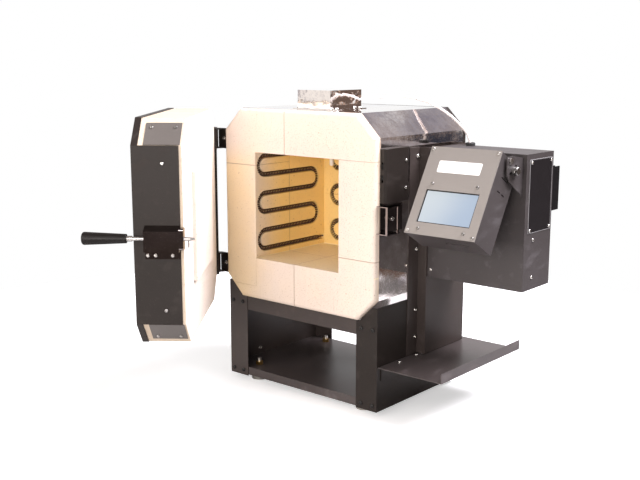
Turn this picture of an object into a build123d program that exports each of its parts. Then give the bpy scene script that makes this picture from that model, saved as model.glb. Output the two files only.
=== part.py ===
from build123d import *
import math
import os

# Sizes are millimetres. X runs to the kiln's right, Y to its back and Z up.
# While the pieces are modelled, X is zero on the chamber's centre line, Y on the front brick face
# and Z under the body. At the end everything is moved so that the feet stand at zero.

# Chamber and brickwork
chamber_width = 198.0
chamber_height = 198.0
chamber_depth = 198.0
wall_brick = 79.0
back_brick = 60.0
front_ring_depth = 94.0
brick_gap = 0.5
front_edge_radius = 7.0
mouth_edge_radius = 1.5
top_joint_x = -26.0
bottom_joint_x = -4.0
left_joint_drop = 24.0
left_joint_rise = 54.0
right_joint_rise = 28.0
back_joint_rise = 102.0

# Jacket and rear cover
jacket_sheet = 1.0
body_corner = 40.0
brick_stand_out = 12.0
terminal_space = 8.0
seam_drop = 58.0
seam_lap = 12.0
seam_lip = 2.0
cover_sheet = 1.2
cover_depth = 10.2
cover_tongue = 6.0
cover_fit = 0.1
vent_count = 7
vent_width = 6.0
vent_height = 60.0
vent_pitch = 22.0

# Wound heating elements
coil_diameter = 8.2
coil_run_count = 6
coil_pitch = 35.0
coil_lowest_rise = 15.0
coil_inset = 3.5
groove_width = 10.0
groove_depth = 8.0
side_coil_front = 10.0
side_coil_rear_clearance = 22.0
side_coil_tail_clearance = 10.4
back_coil_half_width = 79.0
back_coil_end_x = 90.0
tail_diameter = 2.5
tail_hole_diameter = 3.4
tail_stand_out = 11.0
terminal_diameter = 9.0
terminal_length = 10.0
terminal_bore = 2.8

# Thermocouple, its box on the roof and its lead
sheath_diameter = 8.0
sheath_clearance = 0.3
sheath_y = 102.0
sheath_drop = 26.0
sheath_top_rise = 10.0
block_width = 34.0
block_length = 26.0
block_height = 12.0
top_box_width = 77.0
top_box_length = 89.0
top_box_front = 51.0
top_box_height = 34.0
top_box_sheet = 1.0
top_box_flange = 12.0
lead_diameter = 4.5
lead_hole_diameter = 6.5
lead_exit_diameter = 8.5
lead_seat_gap = 0.35
lead_start_side = 2.0
lead_start_rise = 8.0
lead_box_step = 1.0
lead_box_run = 9.5
lead_box_rise = 0.7
lead_box_side = 19.5
lead_box_side_depth = 15.0
lead_exit_reach = 3.5
lead_exit_depth = 21.0
lead_exit_rise = 17.0
lead_crest = 22.5
lead_entry_side = 31.0
lead_entry_depth = 82.0
lead_entry_rise = 13.0
grommet_height = 6.0
grommet_diameter = 17.0

# Stand, feet and side shelf
stand_height = 160.0
stand_sheet = 1.5
stand_front = 9.0
stand_rear_setback = 1.0
stand_upstand = 27.0
post_width = 46.0
post_clearance = 2.0
post_outer_screw_inset = 9.4
post_inner_screw_inset = 34.5
post_screw_offset = 0.75
panel_screw_y = 89.0
panel_screw_rise = 12.5
ledge_screw_offset = 4.0
rail_height = 27.0
rail_ledge = 28.0
stand_floor_drop = 142.5
floor_lip = 15.5
foot_diameter = 30.0
foot_height = 9.0
foot_edge = 1.5
stud_diameter = 8.0
stud_length = 31.5
stud_clearance = 0.05
foot_gap = 1.0
foot_side_inset = 49.0
foot_front_inset = 29.0
foot_rear_inset = 24.0
nut_across = 13.0
nut_height = 6.5
shelf_drop = 78.0
shelf_width = 130.0
shelf_front = 11.0
shelf_rear_reach = 6.0
shelf_lip = 16.0
shelf_offset = 1.0
angle_leg = 25.0
angle_end_gap = 9.0
shelf_front_screw = (11.0, 50.0)
shelf_middle_screw = (8.5, 105.0)
angle_front_screw = 49.0
angle_rear_screw = 53.0

# Riser channel and power box
riser_front_flange = 30.0
riser_rear_flange = 13.0
riser_web_y = 126.0
riser_stand_off = 19.5
riser_top = 296.0
riser_gap = 1.0
riser_screw_inset = 6.5
riser_top_screw_drop = 16.0
riser_upper_screw_drop = 64.0
riser_lower_screw_rise = 4.5
riser_bottom_screw_rise = 32.0
box_fixing_front = 20.0
box_fixing_rear = 70.0
box_fixing_low = 54.0
box_fixing_high = 170.0
box_sheet = 1.5
box_width = 188.5
box_depth = 92.0
box_front = 130.0
box_bottom = 66.0
box_height = 229.0
label_width = 77.0
label_height = 123.0
label_sheet = 1.0
label_front_margin = 10.0
label_top_margin = 9.0
sink_width = 70.0
sink_height = 75.0
sink_depth = 28.0
sink_base = 5.0
sink_fin = 2.0
sink_fin_count = 9
sink_right_margin = 2.0
sink_top_margin = 28.0
relay_width = 45.0
relay_height = 58.0
relay_depth = 24.0
transformer_width = 40.0
transformer_depth = 50.0
transformer_height = 80.0
transformer_rise = 14.0
strip_width = 60.0
strip_depth = 14.0
strip_height = 16.0
strip_drop = 9.5
strip_left_margin = 15.0
strip_way_count = 6
relay_edge = 2.0
relay_post_diameter = 7.0
relay_post_stand_out = 2.0
gland_x = 330.0
gland_rise = 29.0
gland_diameter = 20.0
gland_bore = 8.0

# Door switch cover and keeper
switch_cover_depth = 11.0
switch_cover_front = 13.0
switch_cover_length = 64.0
switch_cover_height = 91.0
switch_cover_gap = 4.0
switch_cover_sheet = 1.0
switch_cover_bevel = 4.0
switch_slot_rises = (41.0, 63.0)
switch_slot_height = 12.0
switch_slot_width = 4.0
switch_slot_inset = 2.0
switch_screw_side_inset = 6.0
switch_screw_end_inset = 22.0
switch_width = 8.0
switch_length = 22.0
switch_height = 28.0
switch_rise = 38.0
switch_front_gap = 4.0
switch_edge = 1.0
keeper_sheet = 1.5
keeper_reach = 23.0
keeper_front = 3.0
keeper_top_length = 72.0
keeper_bottom_length = 37.0
keeper_height = 48.0
keeper_bar = 4.0
keeper_bar_depth = 2.0
keeper_window = 27.0
keeper_rise = 27.5
keeper_front_screw = (27.0, 5.0)
keeper_rear_screw = (43.0, 1.5)

# Hinges
hinge_out = 22.5
hinge_forward = 1.3
pin_diameter = 6.0
pin_clearance = 0.05
pin_head_diameter = 9.0
pin_head = 2.0
knuckle_diameter = 11.0
bracket_height = 38.0
bracket_sheet = 2.5
bracket_front = 8.0
bracket_flange = 37.0
knuckle_end_gap = 0.5
knuckle_plate = 3.0
knuckle_plate_length = 40.0
ear_radius = 7.0
ear_side_x = -190.0

# Door, measured with the door closed
door_thickness = 78.0
door_edge = 1.0
door_sheet = 1.2
door_gap = 0.5
door_blanket_thickness = 9.0
door_flange = 10.0
latch_band_setback = 5.0
hinge_band_lead = 4.0
door_joint_margin = 62.0
plug_width = 180.0
plug_height = 180.0
plug_rise = 6.5
plug_edge_radius = 2.0
corner_plate_length = 44.0
corner_plate_setback = 3.0
corner_plate_depth = 56.0
corner_plate_end_gap = 1.5
corner_screw_inset = 9.5
corner_screw_margin = 9.0
band_screw_y = -30.5
band_screw_half_span = 115.0
band_screw_drop = 2.5
tab_screw_depths = (-56.0, -44.0, -17.4)
tab_screw_offset = 1.0
knuckle_screw_offsets = (22.0, 34.0)
door_rest_angle = -51.48

# Latch, measured with the door closed
rod_diameter = 6.0
rod_clearance = 0.05
rod_stand_out = 10.0
rod_back = 18.0
rod_drop = 1.5
rod_taper = 6.0
rod_tip_diameter = 3.6
rod_in_grip = 14.0
cross_pin_y = 9.0
cross_pin_diameter = 1.8
cross_pin_reach = 13.5
ferrule_diameter = 9.0
ferrule_length = 8.0
grip_length = 69.0
grip_far_diameter = 20.7
grip_near_diameter = 14.4
grip_edge_radius = 4.0
housing_depth = 15.0
housing_length = 54.5
housing_height = 32.5
housing_bevel = 6.9
housing_sheet = 1.4
housing_rod_rise = 20.5
housing_tab = 13.0
guide_length = 7.0
guide_height = 34.0
guide_rise = 3.0
guide_edge_radius = 3.0
ferrule_to_housing = 18.0

# Controller, its case measured across, up and behind the tilted front plate
controller_width = 132.0
controller_height = 155.5
controller_depth = 61.0
controller_tilt = 30.0
controller_left_margin = 45.5
controller_bottom_y = -8.7
controller_bottom_z = 170.3
plate_thickness = 2.0
plate_overhang = 0.5
case_sheet = 1.5
window_width = 100.0
window_height = 58.0
window_bottom = 21.0
display_margin = 4.0
display_depth = 6.0
board_gap = 5.0
board_thickness = 1.6
board_margin = 8.0
post_diameter = 5.0
slot_length = 24.0
slot_height = 2.2
slot_start = 21.5
upper_slot_rise = 120.0
lower_slot_rise = 96.0
floor_slot_left = -1.0
floor_slot_length = 42.0
floor_slot_start = 27.0
floor_slot_width = 5.0
pivot_rise = 150.0
pivot_depth = 25.0
pivot_diameter = 5.0
pivot_clearance = 0.05
pivot_head_diameter = 10.0
pivot_head = 3.0
pivot_collar_diameter = 9.0
pivot_nut_diameter = 6.4
pivot_nut = 4.0
ear_sheet = 2.0
ear_gap = 2.5
ear_front_y = 78.0
ear_slot_radius = 20.0
ear_slot_angle = -56.6
ear_slot_width = 4.6
tilt_down = 30.0
tilt_up = 25.0
bracket_base_height = 64.0
knob_stud_diameter = 4.0
knob_diameter = 14.0
knob_length = 9.0
knob_gap = 0.3
knob_wing_span = 22.0
knob_wing_thickness = 4.0

# Heights and faces that follow from the sizes above
body_half_width = chamber_width / 2 + wall_brick + jacket_sheet
body_half_height = chamber_height / 2 + wall_brick + jacket_sheet
body_top = 2 * body_half_height
mid_z = body_half_height
chamber_side = chamber_width / 2
chamber_floor = mid_z - chamber_height / 2
chamber_roof = mid_z + chamber_height / 2
back_face = chamber_depth + back_brick
jacket_rear = back_face + terminal_space
seam_z = body_top - seam_drop
floor_top = -stand_floor_drop
stand_rear = jacket_rear - stand_rear_setback
shelf_top = -shelf_drop
shelf_length = stand_rear + shelf_rear_reach - shelf_front
foot_x = body_half_width - foot_side_inset
foot_front_y = stand_front + foot_front_inset
foot_rear_y = stand_rear - foot_rear_inset
riser_outer = body_half_width + riser_stand_off
riser_rear = stand_rear - riser_rear_flange
box_left = riser_outer
box_right = box_left + box_width
box_rear = box_front + box_depth
box_top = box_bottom + box_height
hinge_x = -body_half_width - hinge_out
hinge_y = -hinge_forward
door_half_width = body_half_width + door_edge
door_half_height = body_half_height + door_edge
door_front = -door_thickness
door_brick_front = door_front + door_sheet + door_blanket_thickness + 2 * cover_fit
side_straight_low = mid_z - door_half_height + body_corner
side_straight_high = mid_z + door_half_height - body_corner
bracket_centres = (side_straight_low + bracket_height / 2 + 1, side_straight_high - bracket_height / 2 - 1)


def block(x, y, z):
    """A box between its two limits on each axis."""
    limits = (x, y, z)
    size = [high - low for low, high in limits]
    centre = [(high + low) / 2 for low, high in limits]
    return Pos(*centre) * Box(*size)


def rod(start, direction, diameter, length):
    """A round bar from a start point along a direction."""
    ends = (Align.CENTER, Align.CENTER, Align.MIN)
    return Plane(origin=start, z_dir=direction) * Cylinder(diameter / 2, length, align=ends)


def prism(points, axis, start, stop):
    """A straight-sided outline pushed along one axis; its points hold the other two coordinates."""
    places = {
        "x": lambda a, b: (start, a, b),
        "y": lambda a, b: (a, start, b),
        "z": lambda a, b: (a, b, start),
    }
    directions = {"x": (1, 0, 0), "y": (0, 1, 0), "z": (0, 0, 1)}
    corners = [places[axis](a, b) for a, b in points]
    outline = make_face(Polyline(*corners, close=True))
    return extrude(outline, amount=stop - start, dir=directions[axis])


def cut_cornered(half_width, half_height, corner, inset):
    """Eight (x, z) corners of a rectangle with its corners cut at 45 degrees, all sides moved in."""
    half_w = half_width - inset
    half_h = half_height - inset
    cut = corner - inset * (2 - math.sqrt(2))
    x_in = half_w - cut
    z_in = half_h - cut
    right = [(x_in, -half_h), (half_w, -z_in), (half_w, z_in), (x_in, half_h)]
    left = [(-x, z) for x, z in reversed(right)]
    return [(x, z + mid_z) for x, z in right + left]


def body_outline(inset):
    """The outline of the body, moved in by a distance."""
    return cut_cornered(body_half_width, body_half_height, body_corner, inset)


def door_outline(inset):
    """The outline of the door, moved in by a distance."""
    return cut_cornered(door_half_width, door_half_height, body_corner, inset)


class Screw:
    """One size of pan-head screw, with the holes that it passes through."""

    recess_share = 0.5
    blade_share = 0.14
    head_share = 0.34
    hole_clearance = 0.25

    def __init__(self, head, shank, length):
        self.head = head
        self.shank = shank
        self.length = length

    def solid(self):
        """The screw standing on the XY plane, with a cross recess and rounded head."""
        height = self.head * self.head_share
        head = rod((0, 0, 0), (0, 0, 1), self.head, height)
        head = fillet(head.edges().group_by(Axis.Z)[-1], height * 0.7)
        blade = self.head * self.blade_share
        reach = self.head * self.recess_share
        for size in ((reach, blade), (blade, reach)):
            head -= Pos(0, 0, height) * Box(size[0], size[1], height)
        return head + rod((0, 0, 0), (0, 0, -1), self.shank, self.length)

    def solids(self, spots):
        """One screw for each (point, outward direction)."""
        master = self.solid()
        return [Plane(origin=point, z_dir=direction) * master for point, direction in spots]

    def drill(self, shape, spots):
        """The shape with a clear hole for each screw that reaches it."""
        room = shape.bounding_box()
        for point, direction in spots:
            start = Vector(*point) + Vector(*direction).normalized() * 0.2
            diameter = self.shank + 2 * self.hole_clearance
            hole = rod(start, tuple(-Vector(*direction)), diameter, self.length + 0.7)
            reach = hole.bounding_box()
            apart = (
                reach.min.X > room.max.X or reach.max.X < room.min.X
                or reach.min.Y > room.max.Y or reach.max.Y < room.min.Y
                or reach.min.Z > room.max.Z or reach.max.Z < room.min.Z
            )
            if not apart:
                shape = shape - hole
        return shape


panel_screw = Screw(head=7.6, shank=3.6, length=7.0)
small_screw = Screw(head=5.6, shank=2.6, length=5.0)


# Wound heating elements: one tube per wall, bent to and fro in a flat serpentine

def coil_heights():
    """Heights of the element's runs, from the lowest up."""
    return [chamber_floor + coil_lowest_rise + index * coil_pitch for index in range(coil_run_count)]


def serpentine(place, near, far, ends):
    """A flat path of straight runs and half-turn bends.

    place turns (distance, height) into a point. The bends touch near and far by turns,
    starting at near from the lowest run, and the two open ends lie at the distance ends.
    """
    radius = coil_pitch / 2
    direction = 1 if far > near else -1
    turns = (near + direction * radius, far - direction * radius)
    heights = coil_heights()
    edges = []
    start = ends
    for index, height in enumerate(heights):
        last = index == len(heights) - 1
        side = index % 2
        stop = ends if last else turns[side]
        edges.append(Line(place(start, height), place(stop, height)))
        if not last:
            outward = -direction if side == 0 else direction
            crown = place(stop + outward * radius, height + radius)
            edges.append(ThreePointArc(place(stop, height), crown, place(stop, height + coil_pitch)))
        start = stop
    return Wire(edges)


def side_place(side):
    """Points on the side wall's element, from a distance along Y and a height."""
    x = side * (chamber_side + coil_inset)
    return lambda distance, height: (x, distance, height)


def back_place():
    """Points on the back wall's element, from a distance along X and a height."""
    y = chamber_depth + coil_inset
    return lambda distance, height: (distance, y, height)


def swept(path, section):
    """A section swept along a path, square to its start."""
    return sweep(path.location_at(0) * section, path)


def wall_groove(path, direction):
    """The groove for an element, open towards the chamber along a direction."""
    start = path.position_at(0)
    tangent = path.tangent_at(0)
    deep = groove_depth - coil_inset
    shallow = coil_inset + 1.0
    width = deep + shallow
    plane = Plane(origin=start, x_dir=direction, z_dir=tangent)
    section = plane * Pos((shallow - deep) / 2, 0) * Rectangle(width, groove_width)
    return sweep(section, path)


def side_path(side, ends):
    """The path of a side element whose open ends lie at a depth."""
    far = chamber_depth - side_coil_rear_clearance
    return serpentine(side_place(side), side_coil_front, far, ends)


def back_path(ends):
    """The path of the back element whose open ends lie at a distance from the centre line."""
    return serpentine(back_place(), -back_coil_half_width, back_coil_half_width, ends)


def tail_points():
    """Where the element tails cross the back wall, as (x, z)."""
    heights = coil_heights()
    columns = (-chamber_side - coil_inset, chamber_side + coil_inset, back_coil_end_x - tail_diameter)
    return [(x, z) for x in columns for z in (heights[0], heights[-1])]


def element(path, tail_x, tail_y):
    """One wound element as its outer tube, with two thin tails through the back wall."""
    shape = swept(path, Circle(coil_diameter / 2))
    heights = coil_heights()
    length = back_face + tail_stand_out - tail_y
    for z in (heights[0], heights[-1]):
        shape += rod((tail_x, tail_y, z), (0, 1, 0), tail_diameter, length)
    return shape


def side_element(side):
    """The element of a side wall."""
    stop = chamber_depth - side_coil_tail_clearance
    return element(side_path(side, stop), side * (chamber_side + coil_inset), stop - tail_diameter)


def back_element():
    """The element of the back wall."""
    return element(back_path(back_coil_end_x), back_coil_end_x - tail_diameter, chamber_depth + coil_inset)


def element_terminals():
    """Brass connectors on the element tails, behind the back wall."""
    pieces = []
    for x, z in tail_points():
        barrel = rod((x, back_face, z), (0, 1, 0), terminal_diameter, terminal_length)
        barrel -= rod((x, back_face - 1, z), (0, 1, 0), terminal_bore, terminal_length + 2)
        pieces.append(barrel)
    return Compound(pieces)


# Brickwork

def saw_x(x, y, z):
    """A joint cut across X."""
    return block((x - brick_gap / 2, x + brick_gap / 2), y, z)


def saw_z(x, y, z):
    """A joint cut across Z."""
    return block(x, y, (z - brick_gap / 2, z + brick_gap / 2))


def grooves():
    """The three element grooves as one cutting shape, open through to the back wall."""
    left = wall_groove(side_path(-1, chamber_depth + 1), (1, 0, 0))
    right = wall_groove(side_path(1, chamber_depth + 1), (-1, 0, 0))
    back = wall_groove(back_path(back_coil_end_x), (0, -1, 0))
    return left, right, back


def front_bricks(cuts):
    """The front ring: six bricks round the mouth, standing out of the jacket."""
    depth = (-1.0, front_ring_depth + 1.0)
    ring = prism(body_outline(jacket_sheet), "y", 0, front_ring_depth - brick_gap / 2)
    ring = fillet(ring.edges().group_by(Axis.Y)[0], front_edge_radius)
    chamber = (-chamber_side, chamber_side)
    ring -= block(chamber, depth, (chamber_floor, chamber_roof))
    mouth = [
        edge for edge in ring.edges().group_by(Axis.Y)[0]
        if abs(edge.center().X) < chamber_side + 1 and abs(edge.center().Z - mid_z) < chamber_height / 2 + 1
    ]
    ring = fillet(mouth, mouth_edge_radius)
    outer = body_half_width
    left_side = (-outer, -chamber_side)
    right_side = (chamber_side, outer)
    joints = [
        saw_x(top_joint_x, depth, (chamber_roof - 1, body_top)),
        saw_x(bottom_joint_x, depth, (0, chamber_floor + 1)),
        saw_z(left_side, depth, chamber_roof - left_joint_drop),
        saw_z(left_side, depth, chamber_floor - left_joint_rise),
        saw_x(-chamber_side, depth, (chamber_floor - left_joint_rise, chamber_floor + 1)),
        saw_z(right_side, depth, chamber_floor + right_joint_rise),
        saw_z(right_side, depth, chamber_roof),
    ]
    for cut in joints + list(cuts):
        ring -= cut
    return ring


def side_bricks(cuts):
    """The wall bricks behind the front ring, left and right."""
    depth = (front_ring_depth + brick_gap / 2, chamber_depth - brick_gap / 2)
    whole = prism(body_outline(jacket_sheet), "y", *depth)
    pieces = whole - block((-chamber_side, chamber_side), (0, back_face), (-1, body_top + 1))
    for cut in cuts:
        pieces -= cut
    return pieces


def roof_brick():
    """The brick over the chamber, bored for the thermocouple sheath."""
    across = (-chamber_side + brick_gap / 2, chamber_side - brick_gap / 2)
    depth = (front_ring_depth + brick_gap / 2, chamber_depth - brick_gap / 2)
    brick = block(across, depth, (chamber_roof, body_top - jacket_sheet))
    bore = sheath_diameter + 2 * sheath_clearance
    return brick - rod((0, sheath_y, chamber_roof - 1), (0, 0, 1), bore, body_top)


def hearth_brick():
    """The brick that the work stands on."""
    across = (-chamber_side + brick_gap / 2, chamber_side - brick_gap / 2)
    depth = (front_ring_depth + brick_gap / 2, chamber_depth - brick_gap / 2)
    return block(across, depth, (jacket_sheet, chamber_floor))


def back_bricks(cut):
    """Two bricks that close the chamber's rear, grooved and bored for the element tails."""
    wall = prism(body_outline(jacket_sheet), "y", chamber_depth, back_face)
    wall -= cut
    wide = (-body_half_width, body_half_width)
    wall -= saw_z(wide, (0, back_face + 1), chamber_floor + back_joint_rise)
    for x, z in tail_points():
        wall -= rod((x, chamber_depth - 1, z), (0, 1, 0), tail_hole_diameter, back_brick + 2)
    return wall


# Jacket and rear cover

def jacket_ring(start, stop):
    """The jacket's wall, all the way round."""
    inside = prism(body_outline(jacket_sheet), "y", start - 1, stop + 1)
    return prism(body_outline(0), "y", start, stop) - inside


def roof_holes():
    """The thermocouple's hole through the jacket."""
    return rod((0, sheath_y, mid_z), (0, 0, 1), sheath_diameter + 4, body_top)


def jacket_lower():
    """The lower wrap of the jacket, up to the inside of the lapped seam."""
    wide = (-body_half_width - 1, body_half_width + 1)
    low = block(wide, (0, jacket_rear + 1), (-1, seam_z + seam_lap - cover_fit))
    return jacket_ring(brick_stand_out, jacket_rear) & low


def jacket_upper():
    """The upper wrap, with a strip down each side that laps over the lower wrap."""
    wide = (-body_half_width - 1, body_half_width + 1)
    high = block(wide, (0, jacket_rear + 1), (seam_z + seam_lap, body_top + 1))
    shape = jacket_ring(brick_stand_out, jacket_rear) & high
    strip_z = (seam_z, seam_z + seam_lap + seam_lip)
    hinge_clear = bracket_front + bracket_flange + 1
    outer = body_half_width + jacket_sheet
    shape += block((body_half_width, outer), (brick_stand_out, jacket_rear), strip_z)
    shape += block((-outer, -body_half_width), (hinge_clear, jacket_rear), strip_z)
    return shape - roof_holes()


def rear_cover():
    """The vented pan over the element terminals, with a tongue inside the jacket."""
    start = jacket_rear + cover_fit
    stop = jacket_rear + cover_depth
    shape = prism(body_outline(0), "y", start, stop)
    shape -= prism(body_outline(cover_sheet), "y", start - 1, stop - cover_sheet)
    tongue_fit = jacket_sheet + cover_fit
    tongue = prism(body_outline(tongue_fit), "y", jacket_rear - cover_tongue, start + cover_sheet)
    tongue -= prism(body_outline(tongue_fit + cover_sheet), "y", 0, stop)
    shape += tongue
    for index in range(vent_count):
        x = (index - (vent_count - 1) / 2) * vent_pitch
        for z in (mid_z - vent_height, mid_z + vent_height):
            vent = Plane(origin=(x, stop, z), x_dir=(1, 0, 0), z_dir=(0, -1, 0))
            face = vent * SlotOverall(vent_height, vent_width, rotation=90)
            shape -= extrude(face, amount=2 * cover_sheet, both=True)
    return shape


# Thermocouple, roof box and lead

def thermocouple_sheath():
    """The ceramic sheath that hangs into the chamber from the roof."""
    start = chamber_roof - sheath_drop
    shape = rod((0, sheath_y, start), (0, 0, 1), sheath_diameter, body_top + sheath_top_rise - start)
    return fillet(shape.edges().group_by(Axis.Z)[0], sheath_diameter * 0.4)


def thermocouple_block():
    """The ceramic terminal block over the sheath, with two brass screws' recesses."""
    half = block_width / 2
    y = (sheath_y - block_length / 2, sheath_y + block_length / 2)
    shape = block((-half, half), y, (body_top, body_top + block_height))
    bore = sheath_diameter + 2 * sheath_clearance
    shape -= rod((0, sheath_y, body_top - 1), (0, 0, 1), bore, sheath_top_rise + 1 + sheath_clearance)
    for x in (-half / 2, half / 2):
        shape -= rod((x, y[0] + block_length / 4, body_top + block_height), (0, 0, -1), half / 3, 3)
    return shape


def top_box_cover():
    """The polished cover on the roof, with a screw flange on each side."""
    half = top_box_width / 2
    y = (top_box_front, top_box_front + top_box_length)
    top = body_top + top_box_height
    sheet = top_box_sheet
    shape = block((-half, half), y, (body_top, top))
    inside = (-half + sheet, half - sheet)
    shape -= block(inside, (y[0] + sheet, y[1] - sheet), (body_top - 1, top - sheet))
    flange = block((-half - top_box_flange, half + top_box_flange), y, (body_top, body_top + sheet))
    flange -= block(inside, (y[0] + sheet, y[1] - sheet), (body_top - 1, top))
    shape += flange
    before, after = lead_points()[2:4]
    share = (half - before[0]) / (after[0] - before[0])
    y_hole = before[1] + share * (after[1] - before[1])
    z_hole = before[2] + share * (after[2] - before[2])
    return shape - rod((0, y_hole, z_hole), (1, 0, 0), lead_exit_diameter, half + 1)


def top_box_spots():
    """Screws through the roof box's flanges."""
    x = top_box_width / 2 + top_box_flange / 2
    margin = 11.0
    places = [(x, top_box_front + margin), (x, top_box_front + top_box_length - margin)]
    return [((side * px, py, body_top + top_box_sheet), (0, 0, 1)) for side in (-1, 1) for px, py in places]


# The lead's way between its two boxes, as shares of the distance across, of the depth and of the drop
lead_shares = (
    (0.176, 0.276, 0.014),
    (0.384, 0.553, 0.0),
    (0.581, 0.737, 0.131),
    (0.757, 0.855, 0.366),
    (0.907, 0.934, 0.683),
)


def lead_points():
    """The lead's route from the terminal block, over the jacket and down into the power box."""
    rear = sheath_y + block_length / 2
    half = top_box_width / 2
    strip_top = box_top - strip_drop - box_sheet
    start = body_top + lead_start_rise
    leaving = (half + lead_exit_reach, rear + lead_exit_depth)
    entry = (box_left + lead_entry_side, box_front + lead_entry_depth)
    inside_rise = (lead_start_rise + lead_exit_rise) / 2
    crest = body_top + lead_crest
    drop = crest - box_top - lead_entry_rise
    points = [
        (lead_start_side, rear + lead_seat_gap, start),
        (lead_start_side + lead_box_step, rear + lead_box_run, start + lead_box_rise),
        (half - lead_box_side, rear + lead_box_side_depth, body_top + inside_rise),
        (leaving[0], leaving[1], body_top + lead_exit_rise),
    ]
    for across, behind, fallen in lead_shares:
        x = leaving[0] + across * (entry[0] - leaving[0])
        y = leaving[1] + behind * (entry[1] - leaving[1])
        points.append((x, y, crest - fallen * drop))
    return points + [(entry[0], entry[1], crest - drop), (entry[0], entry[1], strip_top)]


def lead_radii(points):
    """Bend radii as large as the runs beside each corner allow."""
    radii = []
    for before, corner, after in zip(points, points[1:], points[2:]):
        first = Vector(*corner) - Vector(*before)
        second = Vector(*after) - Vector(*corner)
        half_turn = math.radians(first.get_angle(second)) / 2
        radii.append(0.45 * min(first.length, second.length) / math.tan(half_turn))
    return radii


def thermocouple_lead():
    """The insulated lead, held between the roof box and the power box."""
    points = lead_points()
    radii = lead_radii(points)
    path = FilletPolyline(*points, radius=radii)
    wire = Wire(path.edges())
    shape = swept(wire, Circle(lead_diameter / 2))
    section = math.pi * (lead_diameter / 2) ** 2
    print("lead bend radii, mm:", [round(radius, 1) for radius in radii])
    print("lead length, mm:", round(wire.length, 1), "volume over section times length:",
          round(shape.volume / (section * wire.length), 4))
    return shape


def lead_grommet():
    """The rubber grommet in the power box's top, seated on the sheet with a neck through it."""
    x, y, _ = lead_points()[-1]
    shape = rod((x, y, box_top), (0, 0, 1), grommet_diameter, grommet_height)
    shape = fillet(shape.edges().group_by(Axis.Z)[-1], grommet_height * 0.4)
    shape += rod((x, y, box_top + 1), (0, 0, -1), grommet_hole() - 2 * cover_fit, 1 + box_sheet)
    return shape - rod((x, y, box_top - 10), (0, 0, 1), lead_hole_diameter, 30)


def grommet_hole():
    """Diameter of the grommet's hole in the sheet."""
    return grommet_diameter - 5


# Stand

def side_pan(side):
    """A side of the stand: a panel with a post-like flange at its front and rear."""
    outer = side * body_half_width
    inner = side * (body_half_width - stand_sheet)
    post_in = side * (body_half_width - post_width)
    clear = post_clearance
    chamfer_low = side * (body_half_width - body_corner + clear)
    chamfer_high = side * (body_half_width - body_corner + stand_upstand + clear)
    post = [
        (outer, -stand_height),
        (post_in, -stand_height),
        (post_in, -clear / 2),
        (chamfer_low, -clear / 2),
        (chamfer_high, stand_upstand),
        (outer, stand_upstand),
    ]
    shape = prism(post, "y", stand_front, stand_front + stand_sheet)
    shape += prism(post, "y", stand_rear - stand_sheet, stand_rear)
    across = (min(outer, inner), max(outer, inner))
    return shape + block(across, (stand_front, stand_rear), (-stand_height, stand_upstand))


def stand_rails():
    """Front and rear rails: angles behind the posts, with a ledge under the body."""
    half = body_half_width - stand_sheet
    front = stand_front + stand_sheet
    rear = stand_rear - stand_sheet
    sheet = stand_sheet
    front_rail = block((-half, half), (front, front + sheet), (-rail_height, 0))
    front_rail += block((-half, half), (front, front + rail_ledge), (-sheet, 0))
    rear_rail = block((-half, half), (rear - sheet, rear), (-rail_height, 0))
    rear_rail += block((-half, half), (rear - rail_ledge, rear), (-sheet, 0))
    return Compound([front_rail, rear_rail])


def stand_floor():
    """The floor pan, with a lip turned down behind the posts at its front and rear."""
    half = body_half_width - stand_sheet
    front = stand_front + stand_sheet
    rear = stand_rear - stand_sheet
    sheet = stand_sheet
    shape = block((-half, half), (front, rear), (floor_top - sheet, floor_top))
    shape += block((-half, half), (front, front + sheet), (floor_top - floor_lip, floor_top))
    shape += block((-half, half), (rear - sheet, rear), (floor_top - floor_lip, floor_top))
    for x, y in foot_places().values():
        shape -= rod((x, y, floor_top + 1), (0, 0, -1), stud_diameter + 1, sheet + 2)
    return shape


def foot_places():
    """The four feet's names and places."""
    return {
        "foot_front_left": (-foot_x, foot_front_y),
        "foot_front_right": (foot_x, foot_front_y),
        "foot_rear_left": (-foot_x, foot_rear_y),
        "foot_rear_right": (foot_x, foot_rear_y),
    }


def levelling_foot(x, y):
    """A round pad with its stud, which screws in and out of the nut above the floor pan."""
    bottom = -stand_height - foot_gap - foot_height
    pad = rod((x, y, bottom), (0, 0, 1), foot_diameter, foot_height)
    pad = chamfer(pad.edges().group_by(Axis.Z)[-1], foot_edge)
    stud = foot_height / 2 + stud_length
    return pad + rod((x, y, bottom + foot_height / 2), (0, 0, 1), stud_diameter, stud)


def foot_nuts():
    """Brass nuts on the floor pan, one round each stud."""
    pieces = []
    for x, y in foot_places().values():
        hexagon = RegularPolygon(nut_across / 2, 6, major_radius=False)
        nut = extrude(Pos(x, y, floor_top) * hexagon, amount=nut_height)
        bore = stud_diameter + 2 * stud_clearance
        pieces.append(nut - rod((x, y, floor_top - 1), (0, 0, 1), bore, nut_height + 2))
    return Compound(pieces)


def stand_spots():
    """Screws on the posts, and one on the inside of the left panel."""
    outer_x = body_half_width - post_outer_screw_inset
    inner_x = body_half_width - post_inner_screw_inset
    rows = (-rail_height / 2 + post_screw_offset, floor_top - floor_lip / 2 + post_screw_offset)
    ledge = rail_ledge / 2 + ledge_screw_offset
    spots = []
    for side in (-1, 1):
        for x in (outer_x, inner_x):
            for z in rows:
                spots.append(((side * x, stand_front, z), (0, -1, 0)))
                spots.append(((side * x, stand_rear, z), (0, 1, 0)))
    inside = (-body_half_width + stand_sheet, panel_screw_y, floor_top + panel_screw_rise)
    spots.append((inside, (1, 0, 0)))
    for x in (-body_half_width / 2, body_half_width / 2):
        spots.append(((x, stand_front + ledge, -stand_sheet), (0, 0, -1)))
        spots.append(((x, stand_rear - ledge, -stand_sheet), (0, 0, -1)))
    return spots


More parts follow.
